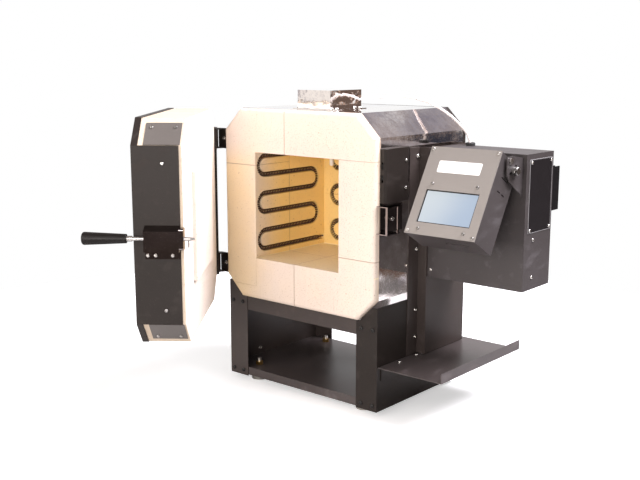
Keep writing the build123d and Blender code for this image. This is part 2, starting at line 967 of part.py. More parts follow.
# Side shelf

def side_shelf():
    """The shelf on the right, with its outer edge turned up."""
    left = body_half_width + shelf_offset
    right = left + shelf_width
    y = (shelf_front, shelf_front + shelf_length)
    sheet = stand_sheet
    shape = block((left, right), y, (shelf_top - sheet, shelf_top))
    return shape + block((right - sheet, right), y, (shelf_top - sheet, shelf_top + shelf_lip))


def shelf_angle():
    """The angle on the stand that carries the shelf."""
    left = body_half_width
    sheet = stand_sheet
    y = (shelf_front + angle_end_gap, shelf_front + shelf_length - 3 * angle_end_gap)
    top = shelf_top - sheet
    shape = block((left, left + sheet), y, (top - angle_leg, top))
    return shape + block((left, left + angle_leg), y, (top - sheet, top))


def shelf_spots():
    """Screws through the shelf into its angle, and through the angle into the stand."""
    x = body_half_width
    spots = []
    for across, behind in (shelf_front_screw, shelf_middle_screw):
        spots.append(((x + across, shelf_front + behind, shelf_top), (0, 0, 1)))
    front = shelf_front + angle_front_screw
    rear = shelf_front + shelf_length - angle_rear_screw
    for y in (front, rear):
        spots.append(((x + stand_sheet, y, shelf_top - stand_sheet - angle_leg / 2), (1, 0, 0)))
    return spots


# Riser channel and power box

def riser_channel():
    """The upright hat channel between the body and the power box."""
    left = body_half_width
    right = riser_outer
    sheet = stand_sheet
    z = (shelf_top + riser_gap, riser_top)
    shape = block((left, left + sheet), (riser_web_y - riser_front_flange, riser_web_y), z)
    shape += block((left, right), (riser_web_y, riser_web_y + sheet), z)
    shape += block((right - sheet, right), (riser_web_y, riser_rear), z)
    shape += block((left, right), (riser_rear - sheet, riser_rear), z)
    return shape + block((left, left + sheet), (riser_rear, riser_rear + riser_rear_flange), z)


def riser_spots():
    """Screws down both flanges, and two from inside the power box into the channel."""
    x = body_half_width + stand_sheet
    front_y = riser_web_y - riser_screw_inset
    rear_y = riser_rear + riser_rear_flange / 2
    rows = [
        riser_top - riser_top_screw_drop,
        mid_z - riser_upper_screw_drop,
        riser_lower_screw_rise,
        shelf_top + riser_bottom_screw_rise,
    ]
    spots = []
    for z in rows:
        spots.append(((x, front_y, z), (1, 0, 0)))
        spots.append(((x, rear_y, z), (1, 0, 0)))
    for behind, rise in ((box_fixing_front, box_fixing_low), (box_fixing_rear, box_fixing_high)):
        spots.append(((box_left + box_sheet, box_front + behind, box_bottom + rise), (1, 0, 0)))
    return spots


def power_box_shell():
    """The box's left, front, rear and bottom walls in one."""
    sheet = box_sheet
    top = box_top - sheet
    shape = block((box_left, box_right - sheet), (box_front, box_rear), (box_bottom, top))
    inside_y = (box_front + sheet, box_rear - sheet)
    shape -= block((box_left + sheet, box_right), inside_y, (box_bottom + sheet, box_top))
    return shape - rod((gland_x, box_rear - 5, box_bottom + gland_rise), (0, 1, 0), gland_neck() + 0.4, 10)


def power_box_cover():
    """The box's top and right side in one, with the grommet's hole."""
    sheet = box_sheet
    shape = block((box_left, box_right), (box_front, box_rear), (box_top - sheet, box_top))
    shape += block((box_right - sheet, box_right), (box_front, box_rear), (box_bottom, box_top))
    x, y, _ = lead_points()[-1]
    return shape - rod((x, y, box_top - 5), (0, 0, 1), grommet_hole(), 10)


def label_plate():
    """A bare plate on the box's right side."""
    front = box_front + label_front_margin
    top = box_top - label_top_margin
    across = (box_right, box_right + label_sheet)
    plate = block(across, (front, front + label_width), (top - label_height, top))
    return fillet(plate.edges().filter_by(Axis.X), 2.0)


def label_spots():
    """Rivet-like screws in the label plate's corners."""
    front = box_front + label_front_margin
    top = box_top - label_top_margin
    margin = 5.0
    rows = (top - margin, top - label_height + margin)
    columns = (front + margin, front + label_width - margin)
    return [((box_right + label_sheet, y, z), (1, 0, 0)) for y in columns for z in rows]


def heat_sink():
    """The black finned heat sink outside the box's rear wall."""
    right = box_right - sink_right_margin
    left = right - sink_width
    top = box_top - sink_top_margin
    z = (top - sink_height, top)
    shape = block((left, right), (box_rear, box_rear + sink_base), z)
    pitch = (sink_width - sink_fin) / (sink_fin_count - 1)
    for index in range(sink_fin_count):
        x = left + index * pitch
        shape += block((x, x + sink_fin), (box_rear, box_rear + sink_depth), z)
    return shape


def solid_state_relay():
    """The relay inside the rear wall, against the heat sink's place."""
    centre_x = box_right - sink_right_margin - sink_width / 2
    centre_z = box_top - sink_top_margin - sink_height / 2
    rear = box_rear - box_sheet
    x = (centre_x - relay_width / 2, centre_x + relay_width / 2)
    z = (centre_z - relay_height / 2, centre_z + relay_height / 2)
    shape = block(x, (rear - relay_depth, rear), z)
    shape = chamfer(shape.edges().group_by(Axis.Y)[0], relay_edge)
    for dx in (-relay_width / 4, relay_width / 4):
        for dz in (-relay_height / 3, relay_height / 3):
            start = (centre_x + dx, rear - relay_depth - relay_post_stand_out, centre_z + dz)
            shape += rod(start, (0, 1, 0), relay_post_diameter, relay_post_stand_out + 1)
    return shape


def transformer():
    """The low-voltage transformer on the box's right wall: a core with a winding round its middle."""
    right = box_right - box_sheet
    bottom = box_bottom + transformer_rise
    front = box_front + label_front_margin
    core_y = (front, front + transformer_depth)
    core = block((right - transformer_width * 0.6, right), core_y, (bottom, bottom + transformer_height))
    winding_z = (bottom + transformer_height * 0.2, bottom + transformer_height * 0.8)
    winding_y = (front + transformer_depth * 0.2, front + transformer_depth * 0.8)
    return core + block((right - transformer_width, right - 5), winding_y, winding_z)


def terminal_strip():
    """The terminal strip inside the rear wall, where the thermocouple lead ends."""
    left = box_left + strip_left_margin
    rear = box_rear - box_sheet
    top = box_top - strip_drop - box_sheet
    shape = block((left, left + strip_width), (rear - strip_depth, rear), (top - strip_height, top))
    pitch = strip_width / strip_way_count
    for index in range(strip_way_count):
        x = left + (index + 0.5) * pitch
        shape -= rod((x, rear - strip_depth - 1, top - strip_height / 2), (0, 1, 0), pitch * 0.55, 5)
    return shape


def gland_neck():
    """Diameter of the gland's threaded neck."""
    return gland_diameter - 5


def cord_gland():
    """The mains cord's gland in the rear wall: a flange, a dome and a neck with its nut inside."""
    z = box_bottom + gland_rise
    inside = box_rear - box_sheet - 5
    shape = rod((gland_x, inside, z), (0, 1, 0), gland_neck(), 20)
    shape += rod((gland_x, box_rear, z), (0, 1, 0), gland_diameter + 3, 4)
    shape += rod((gland_x, box_rear, z), (0, 1, 0), gland_diameter - 2, 17)
    shape = fillet(shape.edges().group_by(Axis.Y)[-1], 4.0)
    hexagon = Plane(origin=(gland_x, inside, z), z_dir=(0, 1, 0)) * RegularPolygon(gland_diameter / 2 + 1, 6)
    shape += extrude(hexagon, amount=5 - cover_fit)
    return shape - rod((gland_x, inside - 1, z), (0, 1, 0), gland_bore, 40)


def box_spots():
    """Screws on the power box: one in the front wall and two into the transformer."""
    right_y = box_front + 29.0
    return [
        ((box_left + 7.1, box_front, box_bottom + 13.5), (0, -1, 0)),
        ((box_right, right_y, box_bottom + transformer_rise + 7.4), (1, 0, 0)),
        ((box_right, right_y, box_bottom + transformer_rise + transformer_height - 9.0), (1, 0, 0)),
    ]


# Door switch cover and keeper on the right side

def keeper_top():
    """Height of the keeper's upper flange."""
    return rod_z() + keeper_rise


def rod_z():
    """Height of the latch rod's axis."""
    return mid_z - rod_drop


def switch_cover():
    """The pan-shaped cover over the door switch, with two slots in its front."""
    left = body_half_width
    right = left + switch_cover_depth
    sheet = switch_cover_sheet
    y = (switch_cover_front, switch_cover_front + switch_cover_length)
    bottom = keeper_top() + switch_cover_gap
    z = (bottom, bottom + switch_cover_height)
    shape = block((left, right), y, z)
    outer_corner = shape.edges().group_by(Axis.X)[-1].filter_by(Axis.Z).group_by(Axis.Y)[0]
    shape = chamfer(outer_corner, switch_cover_bevel)
    inside = block((left - 1, right - sheet), (y[0] + sheet, y[1] - sheet), (z[0] + sheet, z[1] - sheet))
    inner_corner = inside.edges().group_by(Axis.X)[-1].filter_by(Axis.Z).group_by(Axis.Y)[0]
    inside = chamfer(inner_corner, switch_cover_bevel)
    shape -= inside
    slot_x = (left + switch_slot_inset, left + switch_slot_inset + switch_slot_width)
    for rise in switch_slot_rises:
        middle = bottom + rise
        slot_z = (middle - switch_slot_height / 2, middle + switch_slot_height / 2)
        shape -= block(slot_x, (y[0] - sheet, y[0] + 2 * sheet), slot_z)
    return shape


def switch_spots():
    """Screws in the rear edge of the switch cover."""
    x = body_half_width + switch_cover_depth
    y = switch_cover_front + switch_cover_length - switch_screw_side_inset
    bottom = keeper_top() + switch_cover_gap
    rises = (switch_screw_end_inset, switch_cover_height - switch_screw_end_inset)
    return [((x, y, bottom + rise), (1, 0, 0)) for rise in rises]


def door_switch():
    """The switch body on the jacket, inside its cover."""
    left = body_half_width
    front = switch_cover_front + switch_cover_sheet + switch_front_gap
    bottom = keeper_top() + switch_cover_gap + switch_rise
    z = (bottom, bottom + switch_height)
    shape = block((left, left + switch_width), (front, front + switch_length), z)
    return chamfer(shape.edges().filter_by(Axis.Y), switch_edge)


def keeper():
    """The bracket that catches the latch: a base, two flanges and two bars with a window between."""
    left = body_half_width
    right = left + keeper_reach
    sheet = keeper_sheet
    front = keeper_front
    top = keeper_top()
    bottom = top - keeper_height
    z = (bottom, top)
    shape = block((left, left + sheet), (brick_stand_out, front + keeper_top_length), z)
    upper = [
        (left, front),
        (right, front),
        (right, front + keeper_bottom_length),
        (left + sheet, front + keeper_top_length),
        (left, front + keeper_top_length),
    ]
    shape += prism(upper, "z", top - sheet, top)
    shape += block((left, right), (front, front + keeper_bottom_length), (bottom, bottom + sheet))
    shape += block((right - keeper_bar, right), (front, front + keeper_bar_depth), z)
    rear_bar = front + keeper_bar_depth + keeper_window
    return shape + block((right - sheet, right), (rear_bar, rear_bar + keeper_bar), z)


def keeper_spots():
    """Screws through the keeper's base."""
    x = body_half_width + keeper_sheet
    spots = []
    for behind, rise in (keeper_front_screw, keeper_rear_screw):
        spots.append(((x, keeper_front + behind, rod_z() + rise), (1, 0, 0)))
    return spots


# Hinges

def hinge_brackets():
    """The two fixed brackets: a side flange on the jacket, a web and an ear above and below."""
    pieces = []
    outer = -body_half_width
    sheet = bracket_sheet
    web_left = hinge_x - 0.5
    for centre in bracket_centres:
        z = (centre - bracket_height / 2, centre + bracket_height / 2)
        shape = block((outer - sheet, outer), (bracket_front, bracket_front + bracket_flange), z)
        shape += block((web_left, outer), (bracket_front, bracket_front + sheet), z)
        ear = [
            (hinge_x - ear_radius, hinge_y),
            (hinge_x + ear_radius, hinge_y),
            (ear_side_x, bracket_front),
            (ear_side_x, bracket_front + sheet),
            (web_left, bracket_front + sheet),
        ]
        for bottom in (z[0], z[1] - sheet):
            shape += prism(ear, "z", bottom, bottom + sheet)
            shape += rod((hinge_x, hinge_y, bottom), (0, 0, 1), 2 * ear_radius, sheet)
        bore = pin_diameter + 2 * pin_clearance
        shape -= rod((hinge_x, hinge_y, z[0] - 1), (0, 0, 1), bore, bracket_height + 2)
        pieces.append(shape)
    return pieces


def hinge_pins():
    """Headed pins that drop through the brackets and the door's knuckles."""
    pieces = []
    for centre in bracket_centres:
        top = centre + bracket_height / 2
        pin = rod((hinge_x, hinge_y, top), (0, 0, -1), pin_diameter, bracket_height + 3)
        pieces.append(pin + rod((hinge_x, hinge_y, top), (0, 0, 1), pin_head_diameter, pin_head))
    return Compound(pieces)


def hinge_spots():
    """A bolt in each bracket's web, and two screws in each side flange."""
    outer = -body_half_width
    spots = []
    for centre in bracket_centres:
        spots.append(((outer - 7.0, bracket_front, centre), (0, -1, 0)))
        for offset in (-10.0, 10.0):
            y = bracket_front + bracket_flange - 9
            spots.append(((outer - bracket_sheet, y, centre + offset), (-1, 0, 0)))
    return spots


def door_knuckles():
    """The door's half of each hinge: a barrel, an arm and a plate on the door's edge."""
    pieces = []
    edge = -door_half_width
    length = bracket_height - 2 * bracket_sheet - 2 * knuckle_end_gap
    arm_y = (hinge_y - knuckle_plate / 2, hinge_y + knuckle_plate / 2)
    for centre in bracket_centres:
        z = (centre - length / 2, centre + length / 2)
        shape = rod((hinge_x, hinge_y, z[0]), (0, 0, 1), knuckle_diameter, length)
        shape += block((hinge_x, edge), arm_y, z)
        shape += block((edge - knuckle_plate, edge), (arm_y[1] - knuckle_plate_length, arm_y[1]), z)
        bore = pin_diameter + 2 * pin_clearance
        shape -= rod((hinge_x, hinge_y, z[0] - 1), (0, 0, 1), bore, length + 2)
        pieces.append(shape)
    return pieces


# Door, built closed

def door_skin():
    """The pan over the door's outside, with deep bands down its latch and hinge edges."""
    sheet = door_sheet
    shape = prism(door_outline(0), "y", door_front, door_front + door_flange)
    shape -= prism(door_outline(sheet), "y", door_front + sheet, door_front + door_flange + 1)
    z = (side_straight_low, side_straight_high)
    edge = door_half_width
    shape += block((edge - sheet, edge), (door_front, -latch_band_setback), z)
    return shape + block((-edge, -edge + sheet), (door_front, hinge_band_lead), z)


def door_bricks():
    """Top, bottom and two middle bricks; the middle ones carry the raised plug."""
    whole = prism(door_outline(door_sheet), "y", door_brick_front, -door_gap)
    half_w = plug_width / 2
    z = (mid_z - plug_height / 2, mid_z + plug_height / 2)
    plug = block((-half_w, half_w), (-door_gap - 1, plug_rise), z)
    plug = fillet(plug.edges().group_by(Axis.Y)[-1], plug_edge_radius)
    whole += plug
    wide = (-door_half_width, door_half_width)
    depth = (door_front, plug_rise + 1)
    low = mid_z - door_half_height + door_joint_margin
    high = mid_z + door_half_height - door_joint_margin
    whole -= saw_z(wide, depth, low)
    whole -= saw_z(wide, depth, high)
    return whole - saw_x(0, depth, (low, high))


def door_blanket():
    """The fibre blanket between the bricks and the skin."""
    start = door_front + door_sheet + cover_fit
    inset = door_sheet + 1.5
    return prism(door_outline(inset), "y", start, start + door_blanket_thickness)


def corner_plate_slide():
    """How far a corner plate lies from the middle of its cut corner, towards the door's side."""
    return (body_corner * math.sqrt(2) - corner_plate_length) / 2 - corner_plate_end_gap


def corner_plates():
    """Plates across the door's four cut corners that hold the end bricks."""
    pieces = []
    middle_x = door_half_width - body_corner / 2
    middle_z = door_half_height - body_corner / 2
    y = -corner_plate_setback - corner_plate_depth / 2
    lift = door_sheet / 2 / math.sqrt(2)
    shift = corner_plate_slide() / math.sqrt(2)
    for side in (-1, 1):
        for up in (-1, 1):
            origin = (
                side * (middle_x - lift + shift),
                y,
                mid_z + up * (middle_z - lift - shift),
            )
            plane = Plane(origin=origin, x_dir=(0, 1, 0), z_dir=(side, 0, up))
            pieces.append(plane * Box(corner_plate_depth, corner_plate_length, door_sheet))
    return pieces


def corner_spots():
    """Two screws in each corner plate, near its end."""
    spots = []
    shift = (corner_plate_slide() - corner_plate_length / 2 + corner_screw_margin) / math.sqrt(2)
    x = door_half_width - body_corner / 2 + shift
    z = door_half_height - body_corner / 2 - shift
    rear = -corner_plate_setback - corner_screw_inset
    front = -corner_plate_setback - corner_plate_depth + corner_screw_inset
    for side in (-1, 1):
        for up in (-1, 1):
            for y in (rear, front):
                spots.append(((side * x, y, mid_z + up * z), (side, 0, up)))
    return spots


def door_spots():
    """Screws on the latch band, in the latch housing's tab and in the knuckle plates."""
    edge = door_half_width
    spots = []
    tab_z = housing_bottom() - housing_tab / 2 - tab_screw_offset
    for offset in (-band_screw_half_span, band_screw_half_span):
        spots.append(((edge, band_screw_y, mid_z - band_screw_drop + offset), (1, 0, 0)))
    for y in tab_screw_depths:
        spots.append(((edge + housing_sheet, y, tab_z), (1, 0, 0)))
    for centre in bracket_centres:
        for offset in knuckle_screw_offsets:
            spots.append(((-edge - knuckle_plate, hinge_y - offset, centre), (-1, 0, 0)))
    return spots


# Latch, built closed

def rod_x():
    """The latch rod's distance from the centre line."""
    return door_half_width + rod_stand_out


def housing_bottom():
    """The lower face of the latch housing."""
    return rod_z() - housing_rod_rise


def housing_profile(inset):
    """The housing's section across the door's edge, as (x, z)."""
    edge = door_half_width
    bottom = housing_bottom()
    return [
        (edge, bottom + inset),
        (edge + housing_depth - inset, bottom + inset),
        (edge + housing_depth - inset, bottom + housing_height - inset),
        (edge, bottom + housing_height + housing_bevel - inset),
    ]


def latch_housing():
    """The polished housing on the latch band, with a screw tab below and a guide at its rear end."""
    edge = door_half_width
    rear = -latch_band_setback - 0.5
    front = rear - housing_length
    sheet = housing_sheet
    shape = prism(housing_profile(0), "y", front, rear)
    shape -= prism(housing_profile(sheet), "y", front + sheet, rear - sheet)
    bottom = housing_bottom()
    shape += block((edge, edge + sheet), (front, rear), (bottom - housing_tab, bottom + sheet))
    guide_z = (bottom + guide_rise, bottom + guide_rise + guide_height)
    guide = block((edge, edge + housing_depth), (rear, rear + guide_length), guide_z)
    guide = fillet(guide.edges().filter_by(Axis.Y).group_by(Axis.X)[-1], guide_edge_radius)
    shape += guide
    bore = rod_diameter + 2 * rod_clearance
    return shape - rod((rod_x(), front - 1, rod_z()), (0, 1, 0), bore, housing_length + guide_length + 2)


def grip_end():
    """Where the grip meets the ferrule, along Y."""
    return -latch_band_setback - 0.5 - housing_length - ferrule_to_housing - ferrule_length


def latch_rod():
    """The rod with its pressed cross pin and tapered tip, and the ferrule at the grip."""
    x = rod_x()
    z = rod_z()
    start = grip_end() - rod_in_grip
    straight_end = rod_back - rod_taper
    bar = rod((x, start, z), (0, 1, 0), rod_diameter, straight_end - start)
    cone_plane = Plane(origin=(x, straight_end, z), z_dir=(0, 1, 0))
    ends = (Align.CENTER, Align.CENTER, Align.MIN)
    bar += cone_plane * Cone(rod_diameter / 2, rod_tip_diameter / 2, rod_taper, align=ends)
    bar += rod((x, cross_pin_y, z), (0, 0, -1), cross_pin_diameter, cross_pin_reach)
    ferrule = rod((x, grip_end(), z), (0, 1, 0), ferrule_diameter, ferrule_length)
    ferrule -= rod((x, grip_end() - 1, z), (0, 1, 0), rod_diameter + 2 * rod_clearance, ferrule_length + 2)
    return [bar, ferrule]


def latch_grip():
    """The tapered black grip, bored for the rod."""
    x = rod_x()
    z = rod_z()
    plane = Plane(origin=(x, grip_end(), z), z_dir=(0, -1, 0))
    ends = (Align.CENTER, Align.CENTER, Align.MIN)
    shape = plane * Cone(grip_near_diameter / 2, grip_far_diameter / 2, grip_length, align=ends)
    shape = fillet(shape.edges().group_by(Axis.Y)[0], grip_edge_radius)
    shape = fillet(shape.edges().group_by(Axis.Y)[-1], grip_edge_radius / 4)
    bore = rod_diameter + 2 * rod_clearance
    return shape - rod((x, grip_end() + 1, z), (0, -1, 0), bore, rod_in_grip + 1 + cover_fit)


# Controller, measured across, up and behind its tilted front plate

controller_x = box_left + controller_left_margin + controller_width / 2
tilt = math.radians(controller_tilt)
plate_up = (0, math.sin(tilt), math.cos(tilt))
plate_out = (0, -math.cos(tilt), math.sin(tilt))
controller_plane = Plane(
    origin=(controller_x, controller_bottom_y, controller_bottom_z), x_dir=(1, 0, 0), z_dir=plate_out
)


def on_case(across, up, behind):
    """A point from its distances across, up and behind the front plate's bottom middle."""
    return (
        controller_x + across,
        controller_bottom_y + up * plate_up[1] - behind * plate_out[1],
        controller_bottom_z + up * plate_up[2] - behind * plate_out[2],
    )


def tilted_block(across, up, behind):
    """A box in the tilted controller's own directions."""
    return controller_plane * block(across, up, (-behind[1], -behind[0]))


pivot_point = on_case(0, pivot_rise, pivot_depth)
slot_angle = math.radians(ear_slot_angle)
knob_y = pivot_point[1] + ear_slot_radius * math.cos(slot_angle)
knob_z = pivot_point[2] + ear_slot_radius * math.sin(slot_angle)
case_half = controller_width / 2 - plate_overhang
ear_inner = controller_width / 2 + ear_gap


def side_bores(shape, diameter, stud_bore):
    """The shape with its pivot and stud holes bored across."""
    left = controller_x - controller_width
    shape -= rod((left, pivot_point[1], pivot_point[2]), (1, 0, 0), diameter, 2 * controller_width)
    return shape - rod((controller_x, knob_y, knob_z), (1, 0, 0), stud_bore, controller_width)


def controller_case():
    """The tilting case: a box open at its front, slotted for air on its right side and its floor."""
    edge = plate_overhang
    up = (edge, controller_height - edge)
    behind = (plate_thickness, controller_depth)
    sheet = case_sheet
    shape = tilted_block((-case_half, case_half), up, behind)
    inside_up = (up[0] + sheet, up[1] - sheet)
    inside_behind = (0, controller_depth - sheet)
    shape -= tilted_block((-case_half + sheet, case_half - sheet), inside_up, inside_behind)
    right = (case_half - 2 * sheet, case_half + 1)
    half_slot = slot_height / 2
    upper = (upper_slot_rise - half_slot, upper_slot_rise + half_slot)
    lower = (lower_slot_rise - half_slot, lower_slot_rise + half_slot)
    shape -= tilted_block(right, upper, (slot_start, slot_start + slot_length))
    for start in (slot_start, slot_start + slot_length * 0.6):
        shape -= tilted_block(right, lower, (start, start + slot_length * 0.4))
    floor_cut = (edge - 1, edge + 2 * sheet)
    floor_slot = (floor_slot_start, floor_slot_start + floor_slot_width)
    shape -= tilted_block((floor_slot_left, floor_slot_left + floor_slot_length), floor_cut, floor_slot)
    return side_bores(shape, pivot_diameter + 2 * cover_fit, knob_stud_diameter + 2 * pivot_clearance)


def front_plate():
    """The front plate with the display's window."""
    half = controller_width / 2
    shape = tilted_block((-half, half), (0, controller_height), (0, plate_thickness))
    window = (window_bottom, window_bottom + window_height)
    return shape - tilted_block((-window_width / 2, window_width / 2), window, (-1, plate_thickness + 1))


def display_module():
    """The touch display, behind the window."""
    half = window_width / 2 + display_margin
    up = (window_bottom - display_margin, window_bottom + window_height + display_margin)
    return tilted_block((-half, half), up, (plate_thickness, plate_thickness + display_depth))


def circuit_board():
    """The board on posts behind the display, with two larger components."""
    half = window_width / 2
    up = (window_bottom, window_bottom + window_height)
    front = plate_thickness + display_depth + board_gap
    shape = tilted_block((-half, half), up, (front, front + board_thickness))
    for x in (-half + board_margin, half - board_margin):
        for y in (up[0] + board_margin, up[1] - board_margin):
            start = on_case(x, y, plate_thickness + display_depth)
            inward = (0, -plate_out[1], -plate_out[2])
            shape += rod(start, inward, post_diameter, board_gap + board_thickness / 2)
    behind = (front + board_thickness / 2, front + board_thickness + board_gap)
    shape += tilted_block((-half / 2, 0), (up[0] + board_margin, up[0] + 3 * board_margin), behind)
    upper = (up[1] - 3 * board_margin, up[1] - board_margin)
    return shape + tilted_block((half / 4, half / 2), upper, behind)


def plate_spots():
    """Screws in the front plate: four corners and four round the display."""
    edge = 5.0
    half = controller_width / 2 - edge
    inner = window_width / 2 - 7.5
    above = window_bottom + window_height + 10.5
    below = window_bottom - 11.0
    places = [(x, y) for x in (-half, half) for y in (edge, controller_height - edge)]
    places += [(x, y) for x in (-inner, inner) for y in (below, above)]
    return [(on_case(x, y, 0), plate_out) for x, y in places]


def pivot_screws():
    """Shoulder screws that join the ears to the case, each with its nut inside."""
    pieces = []
    for side in (-1, 1):
        inside = controller_x + side * (case_half - case_sheet)
        outside = controller_x + side * case_half
        ear_face = controller_x + side * (ear_inner + ear_sheet + cover_fit)
        direction = (side, 0, 0)
        y, z = pivot_point[1], pivot_point[2]
        nut_start = inside - side * pivot_nut
        shank = abs(ear_face - nut_start) + pivot_head / 2
        shape = rod((nut_start, y, z), direction, pivot_diameter, shank)
        shape += rod((nut_start, y, z), direction, pivot_nut_diameter, pivot_nut)
        collar = ear_inner - case_half - cover_fit
        shape += rod((outside, y, z), direction, pivot_collar_diameter, collar)
        head = rod((ear_face, y, z), direction, pivot_head_diameter, pivot_head)
        pieces.append(shape + head)
    return pieces


def tilt_bracket():
    """The bracket on the power box: a base between two ears, the ears slotted for the lock stud."""
    sheet = box_sheet
    base_y = (box_front - sheet, box_front)
    top = box_top - 5.0
    low = top - bracket_base_height
    outer = ear_inner + ear_sheet
    shape = block((controller_x - outer, controller_x + outer), base_y, (low, top))
    ear = [
        (ear_front_y, pivot_point[2] - 22.0),
        (ear_front_y + 9.0, pivot_point[2] - 34.0),
        (box_front, low),
        (box_front, top),
        (pivot_point[1] + 11.0, pivot_point[2] + 7.0),
        (ear_front_y, pivot_point[2] + 7.0),
    ]
    for start in (controller_x - outer, controller_x + ear_inner):
        shape += prism(ear, "x", start, start + ear_sheet)
    shape -= arc_slot()
    bore = pivot_diameter + 2 * pivot_clearance
    start = (controller_x - controller_width, pivot_point[1], pivot_point[2])
    return shape - rod(start, (1, 0, 0), bore, 2 * controller_width)


def arc_slot():
    """The curved slot round the pivot that the lock stud rides in, as a cutting shape."""
    margin = 3.0
    low = math.radians(ear_slot_angle - tilt_down - margin)
    high = math.radians(ear_slot_angle + tilt_up + margin)
    middle = (low + high) / 2
    x = controller_x + ear_inner - 1

    def at(angle, radius):
        y = pivot_point[1] + radius * math.cos(angle)
        z = pivot_point[2] + radius * math.sin(angle)
        return (x, y, z)

    inner = ear_slot_radius - ear_slot_width / 2
    outer = ear_slot_radius + ear_slot_width / 2
    outline = [
        ThreePointArc(at(low, outer), at(middle, outer), at(high, outer)),
        Line(at(high, outer), at(high, inner)),
        ThreePointArc(at(high, inner), at(middle, inner), at(low, inner)),
        Line(at(low, inner), at(low, outer)),
    ]
    cut = extrude(make_face(Wire(outline)), amount=ear_sheet + 2, dir=(1, 0, 0))
    for angle in (low, high):
        cut += rod(at(angle, ear_slot_radius), (1, 0, 0), ear_slot_width, ear_sheet + 2)
    return cut


def tilt_spots():
    """Screws through the tilt bracket's base into the power box."""
    z = box_top - 5.0 - bracket_base_height / 2
    return [((controller_x + x, box_front - box_sheet, z), (0, -1, 0)) for x in (-40.0, 40.0)]


def lock_knob():
    """The winged thumb knob with its stud, which clamps the ear to the case."""
    inside = controller_x + case_half - case_sheet - pivot_nut
    face = controller_x + ear_inner + ear_sheet + knob_gap
    shape = rod((inside, knob_y, knob_z), (1, 0, 0), knob_stud_diameter, face - inside + 1)
    hub = rod((face, knob_y, knob_z), (1, 0, 0), knob_diameter, knob_length)
    hub = fillet(hub.edges().group_by(Axis.X)[-1], 2.0)
    shape += hub
    half_span = knob_wing_span / 2
    half_thick = knob_wing_thickness / 2
    wing_x = (face + 2.0, face + knob_length - 1.0)
    wing = block(wing_x, (knob_y - half_span, knob_y + half_span), (knob_z - half_thick, knob_z + half_thick))
    wing = fillet(wing.edges().filter_by(Axis.Z), 1.5)
    return shape + wing


def all_nodes():
    """Every node of the kiln, by name, with the door at its resting angle."""
    left_cut, right_cut, back_cut = grooves()
    nodes = {}

    nodes["front_bricks"] = front_bricks((left_cut, right_cut))
    nodes["side_bricks"] = side_bricks((left_cut, right_cut))
    nodes["roof_brick"] = roof_brick()
    nodes["hearth_brick"] = hearth_brick()
    nodes["back_bricks"] = back_bricks(back_cut)
    nodes["jacket_lower"] = jacket_lower()
    nodes["jacket_upper"] = jacket_upper()
    nodes["rear_cover"] = rear_cover()
    nodes["element_left"] = side_element(-1)
    nodes["element_right"] = side_element(1)
    nodes["element_back"] = back_element()
    nodes["element_terminals"] = element_terminals()
    nodes["thermocouple_sheath"] = thermocouple_sheath()
    nodes["thermocouple_block"] = thermocouple_block()
    nodes["top_box_cover"] = top_box_cover()
    nodes["thermocouple_lead"] = thermocouple_lead()
    nodes["lead_grommet"] = lead_grommet()

    nodes["stand_left_side"] = side_pan(-1)
    nodes["stand_right_side"] = side_pan(1)
    nodes["stand_rails"] = stand_rails()
    nodes["stand_floor"] = stand_floor()
    for name, place in foot_places().items():
        nodes[name] = levelling_foot(*place)
    nodes["foot_nuts"] = foot_nuts()
    nodes["side_shelf"] = side_shelf()
    nodes["shelf_angle"] = shelf_angle()

    nodes["riser_channel"] = riser_channel()
    nodes["power_box_shell"] = power_box_shell()
    nodes["power_box_cover"] = power_box_cover()
    nodes["label_plate"] = label_plate()
    nodes["heat_sink"] = heat_sink()
    nodes["solid_state_relay"] = solid_state_relay()
    nodes["transformer"] = transformer()
    nodes["terminal_strip"] = terminal_strip()
    nodes["cord_gland"] = cord_gland()

    nodes["switch_cover"] = switch_cover()
    nodes["door_switch"] = door_switch()
    nodes["keeper"] = keeper()
    nodes["hinge_brackets"] = Compound(hinge_brackets())
    nodes["hinge_pins"] = hinge_pins()
    nodes["tilt_bracket"] = tilt_bracket()

    panel_spots = stand_spots() + shelf_spots() + riser_spots() + keeper_spots() + hinge_spots()
    panel_spots += top_box_spots()
    fine_spots = label_spots() + box_spots() + switch_spots() + tilt_spots()
    for name in list(nodes):
        nodes[name] = panel_screw.drill(nodes[name], panel_spots)
        nodes[name] = small_screw.drill(nodes[name], fine_spots)
    nodes["body_screws"] = Compound(panel_screw.solids(panel_spots) + small_screw.solids(fine_spots))

    door = {
        "door_skin": door_skin(),
        "door_bricks": door_bricks(),
        "door_blanket": door_blanket(),
        "door_corner_plates": Compound(corner_plates()),
        "door_knuckles": Compound(door_knuckles()),
        "latch_housing": latch_housing(),
        "latch_rod": Compound(latch_rod()),
        "latch_grip": latch_grip(),
    }
    spots = door_spots() + corner_spots()
    for name in ("door_skin", "door_bricks", "door_corner_plates", "door_knuckles", "latch_housing"):
        door[name] = small_screw.drill(door[name], spots)
    door["door_screws"] = Compound(small_screw.solids(spots))
    hinge_axis = Axis((hinge_x, hinge_y, 0), (0, 0, 1))
    for name, shape in door.items():
        nodes[name] = shape.rotate(hinge_axis, door_rest_angle)

    nodes["controller_case"] = controller_case()
    nodes["controller_front_plate"] = small_screw.drill(front_plate(), plate_spots())
    nodes["display_module"] = small_screw.drill(display_module(), plate_spots())
    nodes["circuit_board"] = circuit_board()
    nodes["controller_screws"] = Compound(small_screw.solids(plate_spots()) + pivot_screws())
    nodes["lock_knob"] = lock_knob()
    return nodes


